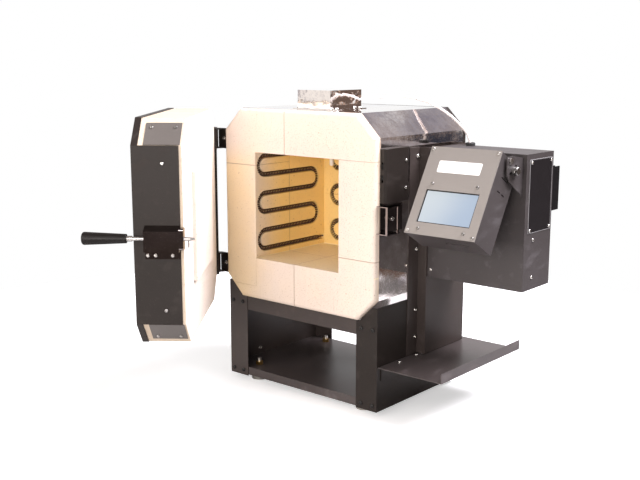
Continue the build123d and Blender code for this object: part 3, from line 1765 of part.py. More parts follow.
def write_parts(nodes):
    """Move everything so that the box's bottom centre is the origin, write it and print the places."""
    room = Compound([shape for shape in nodes.values()]).bounding_box()
    shift = Vector(-(room.min.X + room.max.X) / 2, -(room.min.Y + room.max.Y) / 2, -room.min.Z)
    os.makedirs("parts", exist_ok=True)
    for name, shape in nodes.items():
        export_step(Pos(shift) * shape, "parts/" + name + ".step")

    def metres(label, point):
        moved = Vector(*point) + shift
        print(label, [round(value / 1000, 5) for value in moved])

    print("shift, mm:", [round(value, 3) for value in shift])
    print("size, mm:", [round(value, 2) for value in room.size])
    angle = math.radians(door_rest_angle)
    rod_closed = Vector(rod_x() - hinge_x, -hinge_y, 0)
    rod_open = rod_closed.rotate(Axis.Z, door_rest_angle) + Vector(hinge_x, hinge_y, rod_z())
    metres("hinge axis", (hinge_x, hinge_y, mid_z))
    metres("latch axis", tuple(rod_open))
    print("latch direction", [round(math.sin(angle), 5), round(-math.cos(angle), 5), 0])
    metres("tilt pivot", pivot_point)
    metres("lock knob", (pivot_point[0], knob_y, knob_z))
    metres("hearth", (0, (front_ring_depth + chamber_depth) / 2, chamber_floor))
    metres("front left foot", (-foot_x, foot_front_y, -stand_height - foot_gap - foot_height))


write_parts(all_nodes())
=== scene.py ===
import math

import bmesh
import bpy
import numpy as np
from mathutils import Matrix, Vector


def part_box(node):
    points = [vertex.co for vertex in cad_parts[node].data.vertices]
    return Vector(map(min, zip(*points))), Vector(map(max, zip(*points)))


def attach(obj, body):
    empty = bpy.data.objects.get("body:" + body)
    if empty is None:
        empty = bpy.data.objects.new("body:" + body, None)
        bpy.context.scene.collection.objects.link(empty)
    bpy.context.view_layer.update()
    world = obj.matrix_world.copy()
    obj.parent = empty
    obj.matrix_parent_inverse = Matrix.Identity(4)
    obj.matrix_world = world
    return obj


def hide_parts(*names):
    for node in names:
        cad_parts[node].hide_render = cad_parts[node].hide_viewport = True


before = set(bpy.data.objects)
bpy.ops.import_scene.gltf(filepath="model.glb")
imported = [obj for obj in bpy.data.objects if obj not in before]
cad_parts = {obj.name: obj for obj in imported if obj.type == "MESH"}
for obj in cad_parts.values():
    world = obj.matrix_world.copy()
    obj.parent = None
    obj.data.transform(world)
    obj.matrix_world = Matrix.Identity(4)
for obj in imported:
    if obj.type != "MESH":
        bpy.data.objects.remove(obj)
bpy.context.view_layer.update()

# Studio. The kiln stands on a pale plain floor between soft boxes, and the camera sees white behind it.
# The polished jacket mirrors the room instead: white beyond the kiln, with walls, a table edge and a
# ceiling to the sides. The floor looks darker in mirrors and to bounced light than to the camera.

kiln_x = sum(corner.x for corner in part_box("front_bricks")) / 2
kiln_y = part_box("front_bricks")[0].y
kiln_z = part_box("jacket_lower")[0].z


def kiln_points(millimetres):
    """Places measured from the middle of the body's lower front edge, as metres in the frame."""
    return np.array((kiln_x, kiln_y, kiln_z)) + np.array(millimetres, float) / 1000


class Field:
    """A value that changes over a surface. Arithmetic on it adds Math nodes."""

    def __init__(self, board, socket):
        self.board = board
        self.socket = socket

    def calculate(self, operation, first, second):
        return self.board.add("ShaderNodeMath", {"operation": operation}, {0: first, 1: second})

    def __add__(self, other):
        return self.calculate("ADD", self, other)

    def __radd__(self, other):
        return self.calculate("ADD", other, self)

    def __sub__(self, other):
        return self.calculate("SUBTRACT", self, other)

    def __rsub__(self, other):
        return self.calculate("SUBTRACT", other, self)

    def __mul__(self, other):
        return self.calculate("MULTIPLY", self, other)

    def __rmul__(self, other):
        return self.calculate("MULTIPLY", other, self)

    def __abs__(self):
        return self.calculate("ABSOLUTE", self, 0.0)


class Board:
    """The node tree of a material or of the world, filled step by step."""

    def __init__(self, owner):
        owner.use_nodes = True
        self.owner = owner
        self.tree = owner.node_tree
        self.tree.nodes.clear()

    def add(self, kind, settings=None, sockets=None, output=0):
        """Adds one node: its settings come first, then the values or links of its sockets."""
        node = self.tree.nodes.new(kind)
        for name, value in (settings or {}).items():
            setattr(node, name, value)
        for name, value in (sockets or {}).items():
            if isinstance(value, Field):
                self.tree.links.new(value.socket, node.inputs[name])
            elif node.inputs[name].type == "RGBA":
                node.inputs[name].default_value = (*value, 1.0)
            else:
                node.inputs[name].default_value = value
        return Field(self, node.outputs[output]) if node.outputs else None

    def mix(self, share, first, second):
        """A colour between two others."""
        return self.add("ShaderNodeMix", {"data_type": "RGBA"}, {0: share, 6: first, 7: second}, 2)

    def band(self, value, low, high):
        """Nought below low, one above high, and a soft step between."""
        limits = {"Value": value, "From Min": low, "From Max": high}
        return self.add("ShaderNodeMapRange", {"interpolation_type": "SMOOTHSTEP"}, limits)


def axis_of(place, axis):
    """How far a place lies along one axis."""
    return place.board.add("ShaderNodeSeparateXYZ", {}, {"Vector": place}, axis)


studio = bpy.data.worlds.new("studio")
bpy.context.scene.world = studio
room = Board(studio)
camera_azimuth = math.radians(40.29)
camera_elevation = math.radians(10.66)
level_look = (-math.sin(camera_azimuth), math.cos(camera_azimuth), 0.0)
direction = room.add("ShaderNodeTexCoord", output="Generated")
ahead = room.add("ShaderNodeVectorMath", {"operation": "DOT_PRODUCT"}, {0: direction, 1: level_look}, "Value")
height = axis_of(direction, "Z")
leftward = axis_of(direction, "X") * -1
shapes = room.add("ShaderNodeTexNoise", {}, {"Vector": direction, "Scale": 2.6, "Detail": 3.0})
clutter = room.add("ShaderNodeTexNoise", {}, {"Vector": direction, "Scale": 7.0, "Detail": 4.0})
small = room.add("ShaderNodeTexNoise", {}, {"Vector": direction, "Scale": 24.0, "Detail": 3.0})
near_room = room.mix(room.band(shapes, 0.45, 0.62), (0.026, 0.022, 0.022), (0.11, 0.08, 0.07))
pale_wall = room.mix(room.band(small, 0.36, 0.44), (0.34, 0.30, 0.33), (0.98, 0.90, 0.84))
near_room = room.mix(room.band(leftward, 0.1, 0.6), near_room, pale_wall)
far_room = room.mix(room.band(clutter, 0.40, 0.52), (0.035, 0.040, 0.060), (0.15, 0.10, 0.08))
table = room.mix(room.band(small, 0.44, 0.52), (0.60, 0.30, 0.16), (0.96, 0.93, 0.92))
table_edge = 1 - room.band(height + small * 0.02, -0.038, -0.034)
far_room = room.mix(room.band(height, -0.075, -0.065) * table_edge, far_room, table)
ceiling = room.mix(room.band(clutter, 0.34, 0.50), (0.26, 0.26, 0.33), (0.66, 0.56, 0.51))
ceiling = room.mix(room.band(small, 0.56, 0.64) * 0.8, ceiling, (0.95, 0.93, 0.94))
far_room = room.mix(room.band(height, 0.15, 0.42), far_room, ceiling)
dim_room = room.mix(room.band(ahead, -0.1, 0.1), near_room, far_room)
white_sweep = room.band(ahead, 0.60, 0.78) * (1 - room.band(height, 0.30, 0.52))
mirrored = room.mix(white_sweep, dim_room, (1.0, 1.0, 1.0))
seen_direct = room.add("ShaderNodeLightPath", output="Is Camera Ray")
seen_mirrored = room.add("ShaderNodeLightPath", output="Is Glossy Ray")
around = room.mix(seen_mirrored, (0.27, 0.27, 0.275), mirrored)
around = room.mix(seen_direct, around, (1.0, 1.0, 1.0))
background = room.add("ShaderNodeBackground", {}, {"Color": around, "Strength": 1.0})
room.add("ShaderNodeOutputWorld", {}, {"Surface": background})
bpy.context.scene.view_settings.view_transform = "Standard"


def aim(piece, place, target):
    """Puts a light or camera at a place and turns it to face a target."""
    piece.location = place
    piece.rotation_mode = "QUATERNION"
    piece.rotation_quaternion = (Vector(target) - Vector(place)).to_track_quat("-Z", "Y")
    bpy.context.scene.collection.objects.link(piece)


def soft_box(name, place, size, power, colour):
    """A square soft light aimed at the kiln's middle, which itself stays out of the picture."""
    lamp = bpy.data.lights.new(name, "AREA")
    lamp.shape = "SQUARE"
    lamp.size = size
    lamp.energy = power
    lamp.color = colour
    piece = bpy.data.objects.new(name, lamp)
    aim(piece, place, (0.0, 0.1, 0.3))
    piece.visible_camera = False


soft_box("front_left_light", (-1.0, -2.3, 0.70), 1.4, 34.0, (1.0, 0.95, 0.93))
soft_box("front_right_light", (1.05, -2.2, 0.60), 0.9, 31.0, (1.0, 0.94, 0.91))
soft_box("front_high_light", (0.05, -1.60, 1.35), 0.7, 8.0, (1.0, 0.94, 0.90))
soft_box("top_right_light", (1.20, 0.75, 2.2), 1.4, 150.0, (0.96, 0.93, 1.0))

camera = bpy.data.objects.new("photo_camera", bpy.data.cameras.new("photo_camera"))
camera.data.lens = 54.78
camera.data.sensor_width = 36.0
camera_place = Vector(kiln_points((1147.8, -1285.7, 450.8)))
camera_look = Vector(level_look) * math.cos(camera_elevation) - Vector((0.0, 0.0, math.sin(camera_elevation)))
aim(camera, camera_place, camera_place + camera_look)
bpy.context.scene.camera = camera


def start_finish(name):
    """A new material's board, and the place on the piece in metres."""
    board = Board(bpy.data.materials.new(name))
    return board, board.add("ShaderNodeTexCoord", output="Object")


def surface(board, sockets):
    """Ends a material: its surface gets the given colour, roughness, relief and so on."""
    shader = board.add("ShaderNodeBsdfPrincipled", {}, sockets)
    board.add("ShaderNodeOutputMaterial", {}, {"Surface": shader})
    return board.owner


def grain(place, scale, detail=3.0, stretch=(1.0, 1.0, 1.0)):
    """Cloudy noise with so many repeats to the metre, drawn out along the axes with a low stretch."""
    squeezed = place.board.add("ShaderNodeMapping", {}, {"Vector": place, "Scale": stretch})
    return place.board.add("ShaderNodeTexNoise", {}, {"Vector": squeezed, "Scale": scale, "Detail": detail})


def relief(height, depth, under=None):
    """Bumps so many metres deep."""
    sockets = {"Height": height, "Distance": depth, "Strength": 1.0}
    if under is not None:
        sockets["Normal"] = under
    return height.board.add("ShaderNodeBump", {}, sockets)


floor_sides = 120
floor_radius = 1.25
floor_angle = 2 * math.pi * np.arange(floor_sides) / floor_sides
floor_ring = np.stack([np.cos(floor_angle), np.sin(floor_angle), np.zeros(floor_sides)], axis=-1)
floor_mesh = bpy.data.meshes.new("studio_floor")
floor_mesh.from_pydata((floor_ring * floor_radius).tolist(), [], [tuple(range(floor_sides))])
studio_floor = bpy.data.objects.new("studio_floor", floor_mesh)
bpy.context.scene.collection.objects.link(studio_floor)
board, place = start_finish("floor_paper")
paper = board.mix(grain(place, 3.0), (0.90, 0.90, 0.90), (0.94, 0.94, 0.94))
seen_direct = board.add("ShaderNodeLightPath", output="Is Camera Ray")
seen_mirrored = board.add("ShaderNodeLightPath", output="Is Glossy Ray")
patches = board.mix(board.band(grain(place, 5.0, 2.0), 0.50, 0.54), (0.75, 0.74, 0.73), (0.05, 0.045, 0.04))
unseen = board.mix(seen_mirrored, (0.40, 0.39, 0.38), patches)
floor_sockets = {
    "Base Color": board.mix(seen_direct, unseen, paper),
    "Roughness": grain(place, 40.0) * 0.1 + 0.80,
    "Emission Color": board.mix(seen_direct, (0.0, 0.0, 0.0), (1.0, 1.0, 1.0)),
    "Emission Strength": 0.45,
}
floor_mesh.materials.append(surface(board, floor_sockets))


def dress(material, *names):
    """Gives CAD pieces a material."""
    for name in names:
        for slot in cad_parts[name].material_slots:
            slot.material = material


# Stand, feet and side shelf. Folded steel sheet with a satin black powder coat, scuffed on its floor
# and shelf, which get a lighter coat as painted sheen; its right side gets a darker coat as painted shade.
# Four nickel-plated levelling feet screw into brass nuts that sit on the floor pan.


def powder_coat(name, dark, pale, dust, dust_share, roughness=0.46, gloss=0.5):
    """A coat with a fine orange peel, an uneven tone and dusty scuffs."""
    board, place = start_finish(name)
    cloud = grain(place, 11.0, 5.0)
    scuffs = board.band(grain(place, 55.0, 7.0, (1.0, 0.35, 1.0)), 0.54, 0.72)
    specks = board.band(grain(place, 900.0, 2.0), 0.66, 0.74)
    colour = board.mix(cloud, dark, pale)
    colour = board.mix(scuffs * dust_share, colour, dust)
    colour = board.mix(specks * 0.35, colour, dust)
    satin = cloud * 0.14 + (roughness - 0.07) + scuffs * 0.12
    normal = relief(grain(place, 650.0, 2.0), 0.00005)
    sockets = {"Base Color": colour, "Roughness": satin, "Normal": normal, "Specular IOR Level": gloss}
    return surface(board, sockets)


black_coat = powder_coat(
    "black_coat",
    dark=(0.036, 0.026, 0.023),
    pale=(0.054, 0.041, 0.036),
    dust=(0.16, 0.13, 0.12),
    dust_share=0.12,
)
# A darker black coat: the door's own coat, and painted shade where it goes on the stand's right side.
deep_coat_and_painted_shade = powder_coat(
    "deep_coat_and_painted_shade",
    dark=(0.016, 0.012, 0.010),
    pale=(0.027, 0.021, 0.018),
    dust=(0.11, 0.09, 0.08),
    dust_share=0.12,
    gloss=0.22,
)
# A smoother black coat with real scuffs and dust, and a lighter tone that is painted sheen on these up-facing
# sheets.
rubbed_coat_and_painted_sheen = powder_coat(
    "rubbed_coat_and_painted_sheen",
    dark=(0.050, 0.040, 0.038),
    pale=(0.078, 0.064, 0.062),
    dust=(0.20, 0.17, 0.17),
    dust_share=0.3,
    roughness=0.34,
)
dress(black_coat, "stand_left_side", "stand_rails")
# Painted shade: the stand's right side is the same coat as its left side, made darker.
dress(deep_coat_and_painted_shade, "stand_right_side", "shelf_angle")
# Painted sheen: the floor pan and shelf get a lighter tone of the same black coat.
dress(rubbed_coat_and_painted_sheen, "stand_floor", "side_shelf")


def plated_metal(name, dark, pale, roughness, streak):
    """Bright metal with fine turning or rolling marks and a little tarnish."""
    board, place = start_finish(name)
    tarnish = grain(place, 70.0, 4.0)
    marks = grain(place, 900.0, 3.0, streak)
    colour = board.mix(board.band(tarnish, 0.35, 0.7), dark, pale)
    shine = marks * 0.16 + (roughness - 0.08) + tarnish * 0.06
    normal = relief(marks, 0.00002)
    sockets = {"Base Color": colour, "Roughness": shine, "Metallic": 1.0, "Normal": normal}
    return surface(board, sockets)


nickel_plate = plated_metal("nickel_plate", (0.50, 0.47, 0.43), (0.78, 0.75, 0.70), 0.30, (1.0, 1.0, 0.2))
yellow_brass = plated_metal("yellow_brass", (0.48, 0.28, 0.07), (0.86, 0.60, 0.22), 0.26, (1.0, 1.0, 0.3))
dress(nickel_plate, "foot_front_left", "foot_front_right", "foot_rear_left", "foot_rear_right")
dress(yellow_brass, "foot_nuts", "element_terminals")

# Firebrick. Soft, pale insulating brick, sawn from slabs and dry-fitted: six bricks round the mouth,
# then walls, roof, hearth and back. It is full of pores. Inside and left of the mouth it is painted warmer
# as painted bounced light from the chamber, and the hearth's front edge is painted lighter as painted light.

chamber_half = 99.0
chamber_depth = 198.0
hearth_top = 80.0
mouth_top = 278.0
ring_depth = 94.0
top_joint = -26.0
bottom_joint = -4.0
left_joint = 254.0
right_joint = 108.0


def thin_line(distance, middle):
    """A soft line about two millimetres wide where the distance is middle."""
    return 1 - distance.board.band(abs(distance - middle), 0.3, 1.3)


def kiln_axes(place):
    """Distance right of the kiln's middle, depth behind its front and height, in millimetres."""
    x, y, z = [axis_of(place, axis) for axis in "XYZ"]
    return (x - kiln_x) * 1000, (y - kiln_y) * 1000, (z - kiln_z) * 1000


def chamber_light_and_joints(place, cloud, colour):
    """Painted bounced light, golden on the walls behind the mouth and peach on the bricks left of it,
    painted light along the hearth's front edge, and dusty joints between bricks.
    """
    board = place.board
    across, depth, height = kiln_axes(place)
    # Painted bounced light: the bricks left of the mouth are tinted peach.
    left_bricks = board.band(across * -1 + cloud * 60, 70.0, 190.0) * (1 - board.band(height, 235.0, 300.0))
    colour = board.mix(left_bricks * 0.8, colour, (1.0, 0.79, 0.48))
    # Painted bounced light: the walls behind the mouth are painted golden, deepening inwards.
    glow = board.band(depth + cloud * 30, 2.0, 95.0)
    colour = board.mix(glow * 0.95, colour, (1.0, 0.72, 0.27))
    # Painted light: a lighter strip along the hearth's front edge.
    above = board.band(height, hearth_top - 2, hearth_top - 1)
    below = 1 - board.band(height, hearth_top + 0.5, hearth_top + 1.5)
    on_hearth = above * below * board.band(depth, 0.0, 6.0)
    colour = board.mix(on_hearth * 0.9, colour, (1.0, 0.87, 0.60))
    top_line = thin_line(across, top_joint) * board.band(height, mouth_top - 1, mouth_top)
    bottom_line = thin_line(across, bottom_joint) * (1 - board.band(height, hearth_top, hearth_top + 1))
    left_line = thin_line(height, left_joint) * (1 - board.band(across, -chamber_half - 1, -chamber_half))
    right_line = thin_line(height, right_joint) * board.band(across, chamber_half - 1, chamber_half)
    dusty = top_line + bottom_line + left_line + right_line + thin_line(depth, ring_depth)
    return board.mix(dusty * 0.45, colour, (0.36, 0.24, 0.15))


def firebrick(name, near, far, colour_by_place):
    """Sawn porous brick, coloured by its place by the given function:
    painted light and dusty joints on the body, a tan rim on the door.
    """
    board, place = start_finish(name)
    cloud = grain(place, 16.0, 5.0)
    sawn = grain(place, 240.0, 3.0, (1.0, 1.0, 0.06))
    pores = board.band(grain(place, 420.0, 3.0), 0.56, 0.70)
    holes = board.band(grain(place, 210.0, 2.0), 0.67, 0.75)
    colour = board.mix(cloud * 0.6 + sawn * 0.4, near, far)
    colour = board.mix(board.band(sawn, 0.56, 0.72) * 0.30, colour, tuple(0.80 * value for value in near))
    colour = colour_by_place(place, cloud, colour)
    colour = board.mix(pores * 0.22, colour, (0.50, 0.36, 0.24))
    colour = board.mix(holes * 0.35, colour, (0.26, 0.16, 0.10))
    surface_height = cloud * 0.3 + sawn * 0.4 - pores * 0.8 - holes * 0.5
    sockets = {
        "Base Color": colour,
        "Roughness": cloud * 0.1 + 0.84,
        "Normal": relief(surface_height, 0.0005),
        "Specular IOR Level": 0.25,
    }
    return surface(board, sockets)


body_brick = firebrick("body_brick", (0.80, 0.68, 0.59), (0.88, 0.77, 0.69), chamber_light_and_joints)
dress(body_brick, "front_bricks", "side_bricks", "roof_brick", "hearth_brick", "back_bricks")

# Heating elements. Each wall has one coil of brown-oxidised resistance wire, wound to 8.2 mm and
# bent to and fro in its groove; both ends run as straight tails through the back wall.

run_pitch = 35.0
run_heights = 95.0 + run_pitch * np.arange(6)
bend_points = 41
coil_radius = 4.1
wire_radius = 0.9
wire_sides = 6
turn_pitch = 4.4
samples_per_turn = 13
last_turn_share = 0.12


def serpentine(near, far, ends):
    """Centre line as (distance, height), and the length up to each of its points.

    Six level runs are joined by half circles, by turns at the near and the far end. A half circle is
    (turn + outward r cos a, middle + r sin a), a from -90 to 90 degrees, where outward is -1 or 1.
    """
    radius = run_pitch / 2
    angle = np.linspace(-math.pi / 2, math.pi / 2, bend_points)
    corners = [np.array([[ends, run_heights[0]]])]
    for index, middle in enumerate(run_heights[:-1] + radius):
        outward = -1.0 if index % 2 == 0 else 1.0
        turn = near + radius if index % 2 == 0 else far - radius
        distance = turn + outward * radius * np.cos(angle)
        corners.append(np.stack([distance, middle + radius * np.sin(angle)], axis=-1))
    corners.append(np.array([[ends, run_heights[-1]]]))
    line = np.concatenate(corners)
    length = np.concatenate([[0.0], np.cumsum(np.linalg.norm(np.diff(line, axis=0), axis=1))])
    return line, length


def unit(vectors):
    """Vectors of length one."""
    return vectors / np.linalg.norm(vectors, axis=-1, keepdims=True)


def wound_wire(line, length):
    """A helix round the centre line: line + r (cos q across + sin q outward), q one turn every pitch.

    The radius shrinks to a small share of itself over the last two turns, where the wire meets its tail.
    Returned as a grid [along, around, (distance, height, out of the wall)] of the wire's own surface.
    """
    total = length[-1]
    count = int(round(total / turn_pitch)) * samples_per_turn + 1
    along = np.linspace(0.0, total, count)
    flat = [np.interp(along, length, line[:, axis]) for axis in (0, 1)]
    middle = np.stack(flat + [np.zeros(count)], axis=-1)
    ahead = unit(np.gradient(middle, axis=0))
    outward = np.array([0.0, 0.0, 1.0])
    across = np.cross(outward, ahead)
    angle = (2 * math.pi * along / turn_pitch)[:, None]
    fade = np.clip(np.minimum(along, total - along) / (2 * turn_pitch), 0.0, 1.0)[:, None]
    radius = (coil_radius - wire_radius) * (last_turn_share + (1 - last_turn_share) * fade)
    spoke = np.cos(angle) * across + np.sin(angle) * outward
    centre = middle + radius * spoke
    return pipe(centre, wire_radius, wire_sides, spoke)


def pipe(centre, radius, sides, spoke):
    """A round section carried along a line: centre + r (cos p first + sin p second), square to the line."""
    ahead = unit(np.gradient(centre, axis=0))
    first = unit(spoke - (spoke * ahead).sum(axis=-1, keepdims=True) * ahead)
    second = np.cross(ahead, first)
    turn = 2 * math.pi * np.arange(sides) / sides
    ring = np.cos(turn)[None, :, None] * first[:, None] + np.sin(turn)[None, :, None] * second[:, None]
    return centre[:, None] + np.asarray(radius, float).reshape(-1, 1, 1) * ring


def closed_piece(name, tubes, body, material, sharp=40.0):
    """A mesh of closed tubes, each a grid [along, around, xyz] in metres whose two ends get a fan."""
    vertices = []
    faces = []
    first = 0
    for tube in tubes:
        rows, columns = tube.shape[:2]
        index = first + np.arange(rows * columns).reshape(rows, columns)
        beside = np.roll(index, -1, axis=1)
        start = np.full(columns, first + rows * columns)
        quads = np.stack([index[:-1], beside[:-1], beside[1:], index[1:]], axis=-1)
        faces += quads.reshape(-1, 4).tolist()
        faces += np.stack([start, beside[0], index[0]], axis=-1).tolist()
        faces += np.stack([start + 1, index[-1], beside[-1]], axis=-1).tolist()
        vertices += [tube.reshape(-1, 3), tube[[0, -1]].mean(axis=1)]
        first += rows * columns + 2
    mesh = bpy.data.meshes.new(name)
    mesh.from_pydata(np.concatenate(vertices).tolist(), [], faces)
    work = bmesh.new()
    work.from_mesh(mesh)
    bmesh.ops.recalc_face_normals(work, faces=work.faces)
    work.to_mesh(mesh)
    work.free()
    mesh.shade_smooth()
    mesh.set_sharp_from_angle(angle=math.radians(sharp))
    mesh.materials.append(material)
    piece = bpy.data.objects.new(name, mesh)
    bpy.context.scene.collection.objects.link(piece)
    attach(piece, body)
    return piece


def rounded_bar(start, stop, radius, sides=10):
    """A straight wire from start to stop. Its far end is rounded: r cos a wide, r sin a further on."""
    start = np.array(start, float)
    stop = np.array(stop, float)
    ahead = unit(stop - start)
    angle = np.linspace(0.0, math.radians(80), 5)
    reach = np.linalg.norm(stop - start) - radius
    along = np.concatenate([[0.0], reach + radius * np.sin(angle)])
    width = np.concatenate([[radius], radius * np.cos(angle)])
    centre = start + along[:, None] * ahead
    spoke = np.broadcast_to(np.cross(ahead, (0.0, 0.0, 1.0)), centre.shape)
    return pipe(centre, width, sides, spoke)


board, place = start_finish("oxidised_wire")
crust = grain(place, 520.0, 4.0)
patches = grain(place, 45.0, 3.0)
brown = board.mix(board.band(crust, 0.35, 0.7), (0.060, 0.034, 0.022), (0.190, 0.115, 0.072))
brown = board.mix(board.band(patches, 0.5, 0.75) * 0.4, brown, (0.16, 0.13, 0.11))
wire_sockets = {
    "Base Color": brown,
    "Roughness": crust * 0.2 + 0.5,
    "Metallic": board.band(patches, 0.4, 0.7) * 0.4 + 0.25,
    "Normal": relief(crust, 0.00008),
}
oxidised_wire = surface(board, wire_sockets)

coil_depth = 3.5
side_wall = chamber_half + coil_depth
back_wall = chamber_depth + coil_depth
side_start = 10.0
side_end = 176.0
side_tail = 187.6
back_half = 79.0
back_tail = 90.0
tail_overlap = 2.5
tail_radius = 1.25
tail_end = 269.0


def wall_element(name, wire, tails):
    """A finished element from its winding and its tails, all in kiln millimetres."""
    bars = [rounded_bar(start, (start[0], tail_end, start[2]), tail_radius) for start in tails]
    tubes = [kiln_points(grid) for grid in [wire] + bars]
    piece = closed_piece(name + "_winding", tubes, "kiln", oxidised_wire, sharp=180.0)
    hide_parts(name)


side_grid = wound_wire(*serpentine(side_start, side_end, side_tail))
distance, height, outward = np.moveaxis(side_grid, -1, 0)
for name, side in (("element_left", -1.0), ("element_right", 1.0)):
    wire = np.stack([side * (side_wall + outward), distance, height], axis=-1)
    tails = [(side * side_wall, side_tail - tail_overlap, run_heights[index]) for index in (0, -1)]
    wall_element(name, wire, tails)
back_grid = wound_wire(*serpentine(-back_half, back_half, back_tail))
distance, height, outward = np.moveaxis(back_grid, -1, 0)
wire = np.stack([distance, back_wall + outward, height], axis=-1)
tails = [(back_tail - tail_overlap, back_wall, run_heights[index]) for index in (0, -1)]
wall_element("element_back", wire, tails)

# Jacket, rear cover and small covers. Mirror-polished stainless sheet is wrapped round the bricks in
# two halves with a lapped seam on each side. The box on the roof, the keeper and the latch housing
# are polished too; the vented rear cover and the door switch's cover have a black coat.


def polished_sheet(name, tone, wave, roughness, worn=1.0):
    """Mirror-finished sheet: slow waves in the sheet, fine polishing lines, hand smudges and worn spots."""
    board, place = start_finish(name)
    smudge = board.band(grain(place, 14.0, 6.0), 0.48, 0.72)
    mottle = board.band(grain(place, 260.0, 4.0), 0.40, 0.62)
    lines = grain(place, 1500.0, 2.0, (1.0, 0.03, 1.0))
    slow = grain(place, 7.0, 1.0)
    ripple = grain(place, 38.0, 2.0)
    stain = board.band(grain(place, 45.0, 5.0), 0.42, 0.60)
    colour = board.mix((mottle * 0.18 + stain * 0.26) * worn, tone, (0.46, 0.38, 0.34))
    heat_tint = board.band(grain(place, 16.0, 5.0, (1.0, 0.4, 1.0)), 0.46, 0.68)
    colour = board.mix(heat_tint * (0.32 * worn), colour, (0.36, 0.37, 0.50))
    normal = relief(slow + ripple * wave, 0.0011)
    normal = relief(lines, 0.000008, normal)
    shine = (smudge * 0.06 + mottle * 0.05) * worn + lines * 0.03 + roughness
    sockets = {"Base Color": colour, "Roughness": shine, "Metallic": 1.0, "Normal": normal}
    return surface(board, sockets)


mirror_sheet = polished_sheet("mirror_sheet", (0.84, 0.80, 0.78), 0.12, 0.03)
dress(mirror_sheet, "jacket_lower", "jacket_upper")
clean_sheet = polished_sheet("clean_sheet", (0.94, 0.92, 0.91), 0.45, 0.02, 0.15)
dress(clean_sheet, "top_box_cover")
# The keeper and the latch housing are the same polished sheet, given a dark tone as a painted dark
# reflection.
sheet_painted_dark = polished_sheet("sheet_painted_dark", (0.24, 0.21, 0.20), 0.10, 0.05, 0.3)
dress(sheet_painted_dark, "keeper", "latch_housing")
dress(deep_coat_and_painted_shade, "rear_cover", "switch_cover")

# Thermocouple. A ceramic sheath hangs from the roof; its terminal block sits under the polished box,
# and a lead in a white glass braid runs from there over the jacket into the power box.

board, place = start_finish("white_ceramic")
fired = grain(place, 120.0, 5.0)
soot = board.band(grain(place, 30.0, 4.0), 0.55, 0.8)
china = board.mix(fired, (0.74, 0.70, 0.62), (0.88, 0.85, 0.79))
china = board.mix(soot * 0.4, china, (0.45, 0.36, 0.27))
china_sockets = {"Base Color": china, "Roughness": fired * 0.2 + 0.45, "Normal": relief(fired, 0.0001)}
dress(surface(board, china_sockets), "thermocouple_sheath", "thermocouple_block")

lead_route = [
    (2.0, 115.35, 366.0),
    (3.0, 124.5, 366.7),
    (19.0, 130.0, 370.5),
    (42.0, 136.0, 375.0),
    (75.0, 157.0, 379.5),
    (114.0, 178.0, 380.5),
    (151.0, 192.0, 371.0),
    (184.0, 201.0, 354.0),
    (212.0, 207.0, 331.0),
    (229.5, 212.0, 308.0),
    (229.5, 212.0, 284.0),
]
lead_radius = 0.00225
lead_curve = bpy.data.curves.new("lead_route", "CURVE")
lead_curve.dimensions = "3D"
lead_curve.resolution_u = 12
route = lead_curve.splines.new("NURBS")
route.points.add(len(lead_route) - 1)
for knot, spot in zip(route.points, kiln_points(lead_route)):
    knot.co = (*spot, 1.0)
route.use_endpoint_u = True
route.order_u = 3
route_object = bpy.data.objects.new("lead_route", lead_curve)
route_mesh = bpy.data.meshes.new_from_object(route_object)
lead_line = np.array([vertex.co for vertex in route_mesh.vertices], float)
bpy.data.objects.remove(route_object)
bpy.data.meshes.remove(route_mesh)


def sine_wave(value, length):
    """A wave from -1 to 1 along a value, with length from one crest to the next."""
    return value.board.add("ShaderNodeMath", {"operation": "SINE"}, {0: value * (2 * math.pi / length)})


strands_round = 4
board, place = start_finish("glass_braid")
wrap = board.add("ShaderNodeUVMap", {"uv_map": "braid"})
across_wrap = axis_of(wrap, "X")
along_wrap = axis_of(wrap, "Y")
rising = sine_wave(across_wrap * strands_round + along_wrap, 1.0)
falling = sine_wave(across_wrap * strands_round - along_wrap, 1.0)
strands = rising * falling
fuzz = grain(place, 1800.0, 3.0)
thread = board.mix(board.band(strands, -0.6, 0.6), (0.78, 0.69, 0.65), (0.97, 0.92, 0.89))
thread = board.mix(board.band(fuzz, 0.5, 0.8) * 0.3, thread, (0.80, 0.62, 0.55))
braid_sockets = {
    "Base Color": thread,
    "Roughness": fuzz * 0.2 + 0.6,
    "Normal": relief(strands + fuzz * 0.5, 0.00012),
}
glass_braid = surface(board, braid_sockets)

lead_sides = 14
lead_spoke = np.broadcast_to(np.array([0.0, 0.6, 0.8]), lead_line.shape)
lead_grid = pipe(lead_line, lead_radius, lead_sides, lead_spoke)
lead = closed_piece("lead_in_braid", [lead_grid], "kiln", glass_braid, sharp=180.0)
lead_steps = np.concatenate([[0.0], np.cumsum(np.linalg.norm(np.diff(lead_line, axis=0), axis=1))])
braid_pitch = 0.005


def wrap_braid(mesh):
    """The braid's UV map: u is the share of a turn round the lead, v the length along it in pitches.

    The faces that close the round run from the last side's share to 1 instead of back to 0.
    """
    vertex = np.zeros(len(mesh.loops), int)
    mesh.loops.foreach_get("vertex_index", vertex)
    around = (vertex % lead_sides) / lead_sides
    on_a_ring = vertex < len(lead_line) * lead_sides
    along = lead_steps[np.where(on_a_ring, vertex // lead_sides, 0)] / braid_pitch
    corners_of_faces = [face.loop_total for face in mesh.polygons]
    face = np.repeat(np.arange(len(mesh.polygons)), corners_of_faces)
    closes_the_round = np.zeros(len(mesh.polygons), bool)
    np.logical_or.at(closes_the_round, face, around > 0.9)
    around = np.where(closes_the_round[face] & (around < 0.1), around + 1.0, around)
    wraps = mesh.uv_layers.new(name="braid")
    wraps.data.foreach_set("uv", np.stack([around, along], axis=-1).astype(np.float32).ravel())


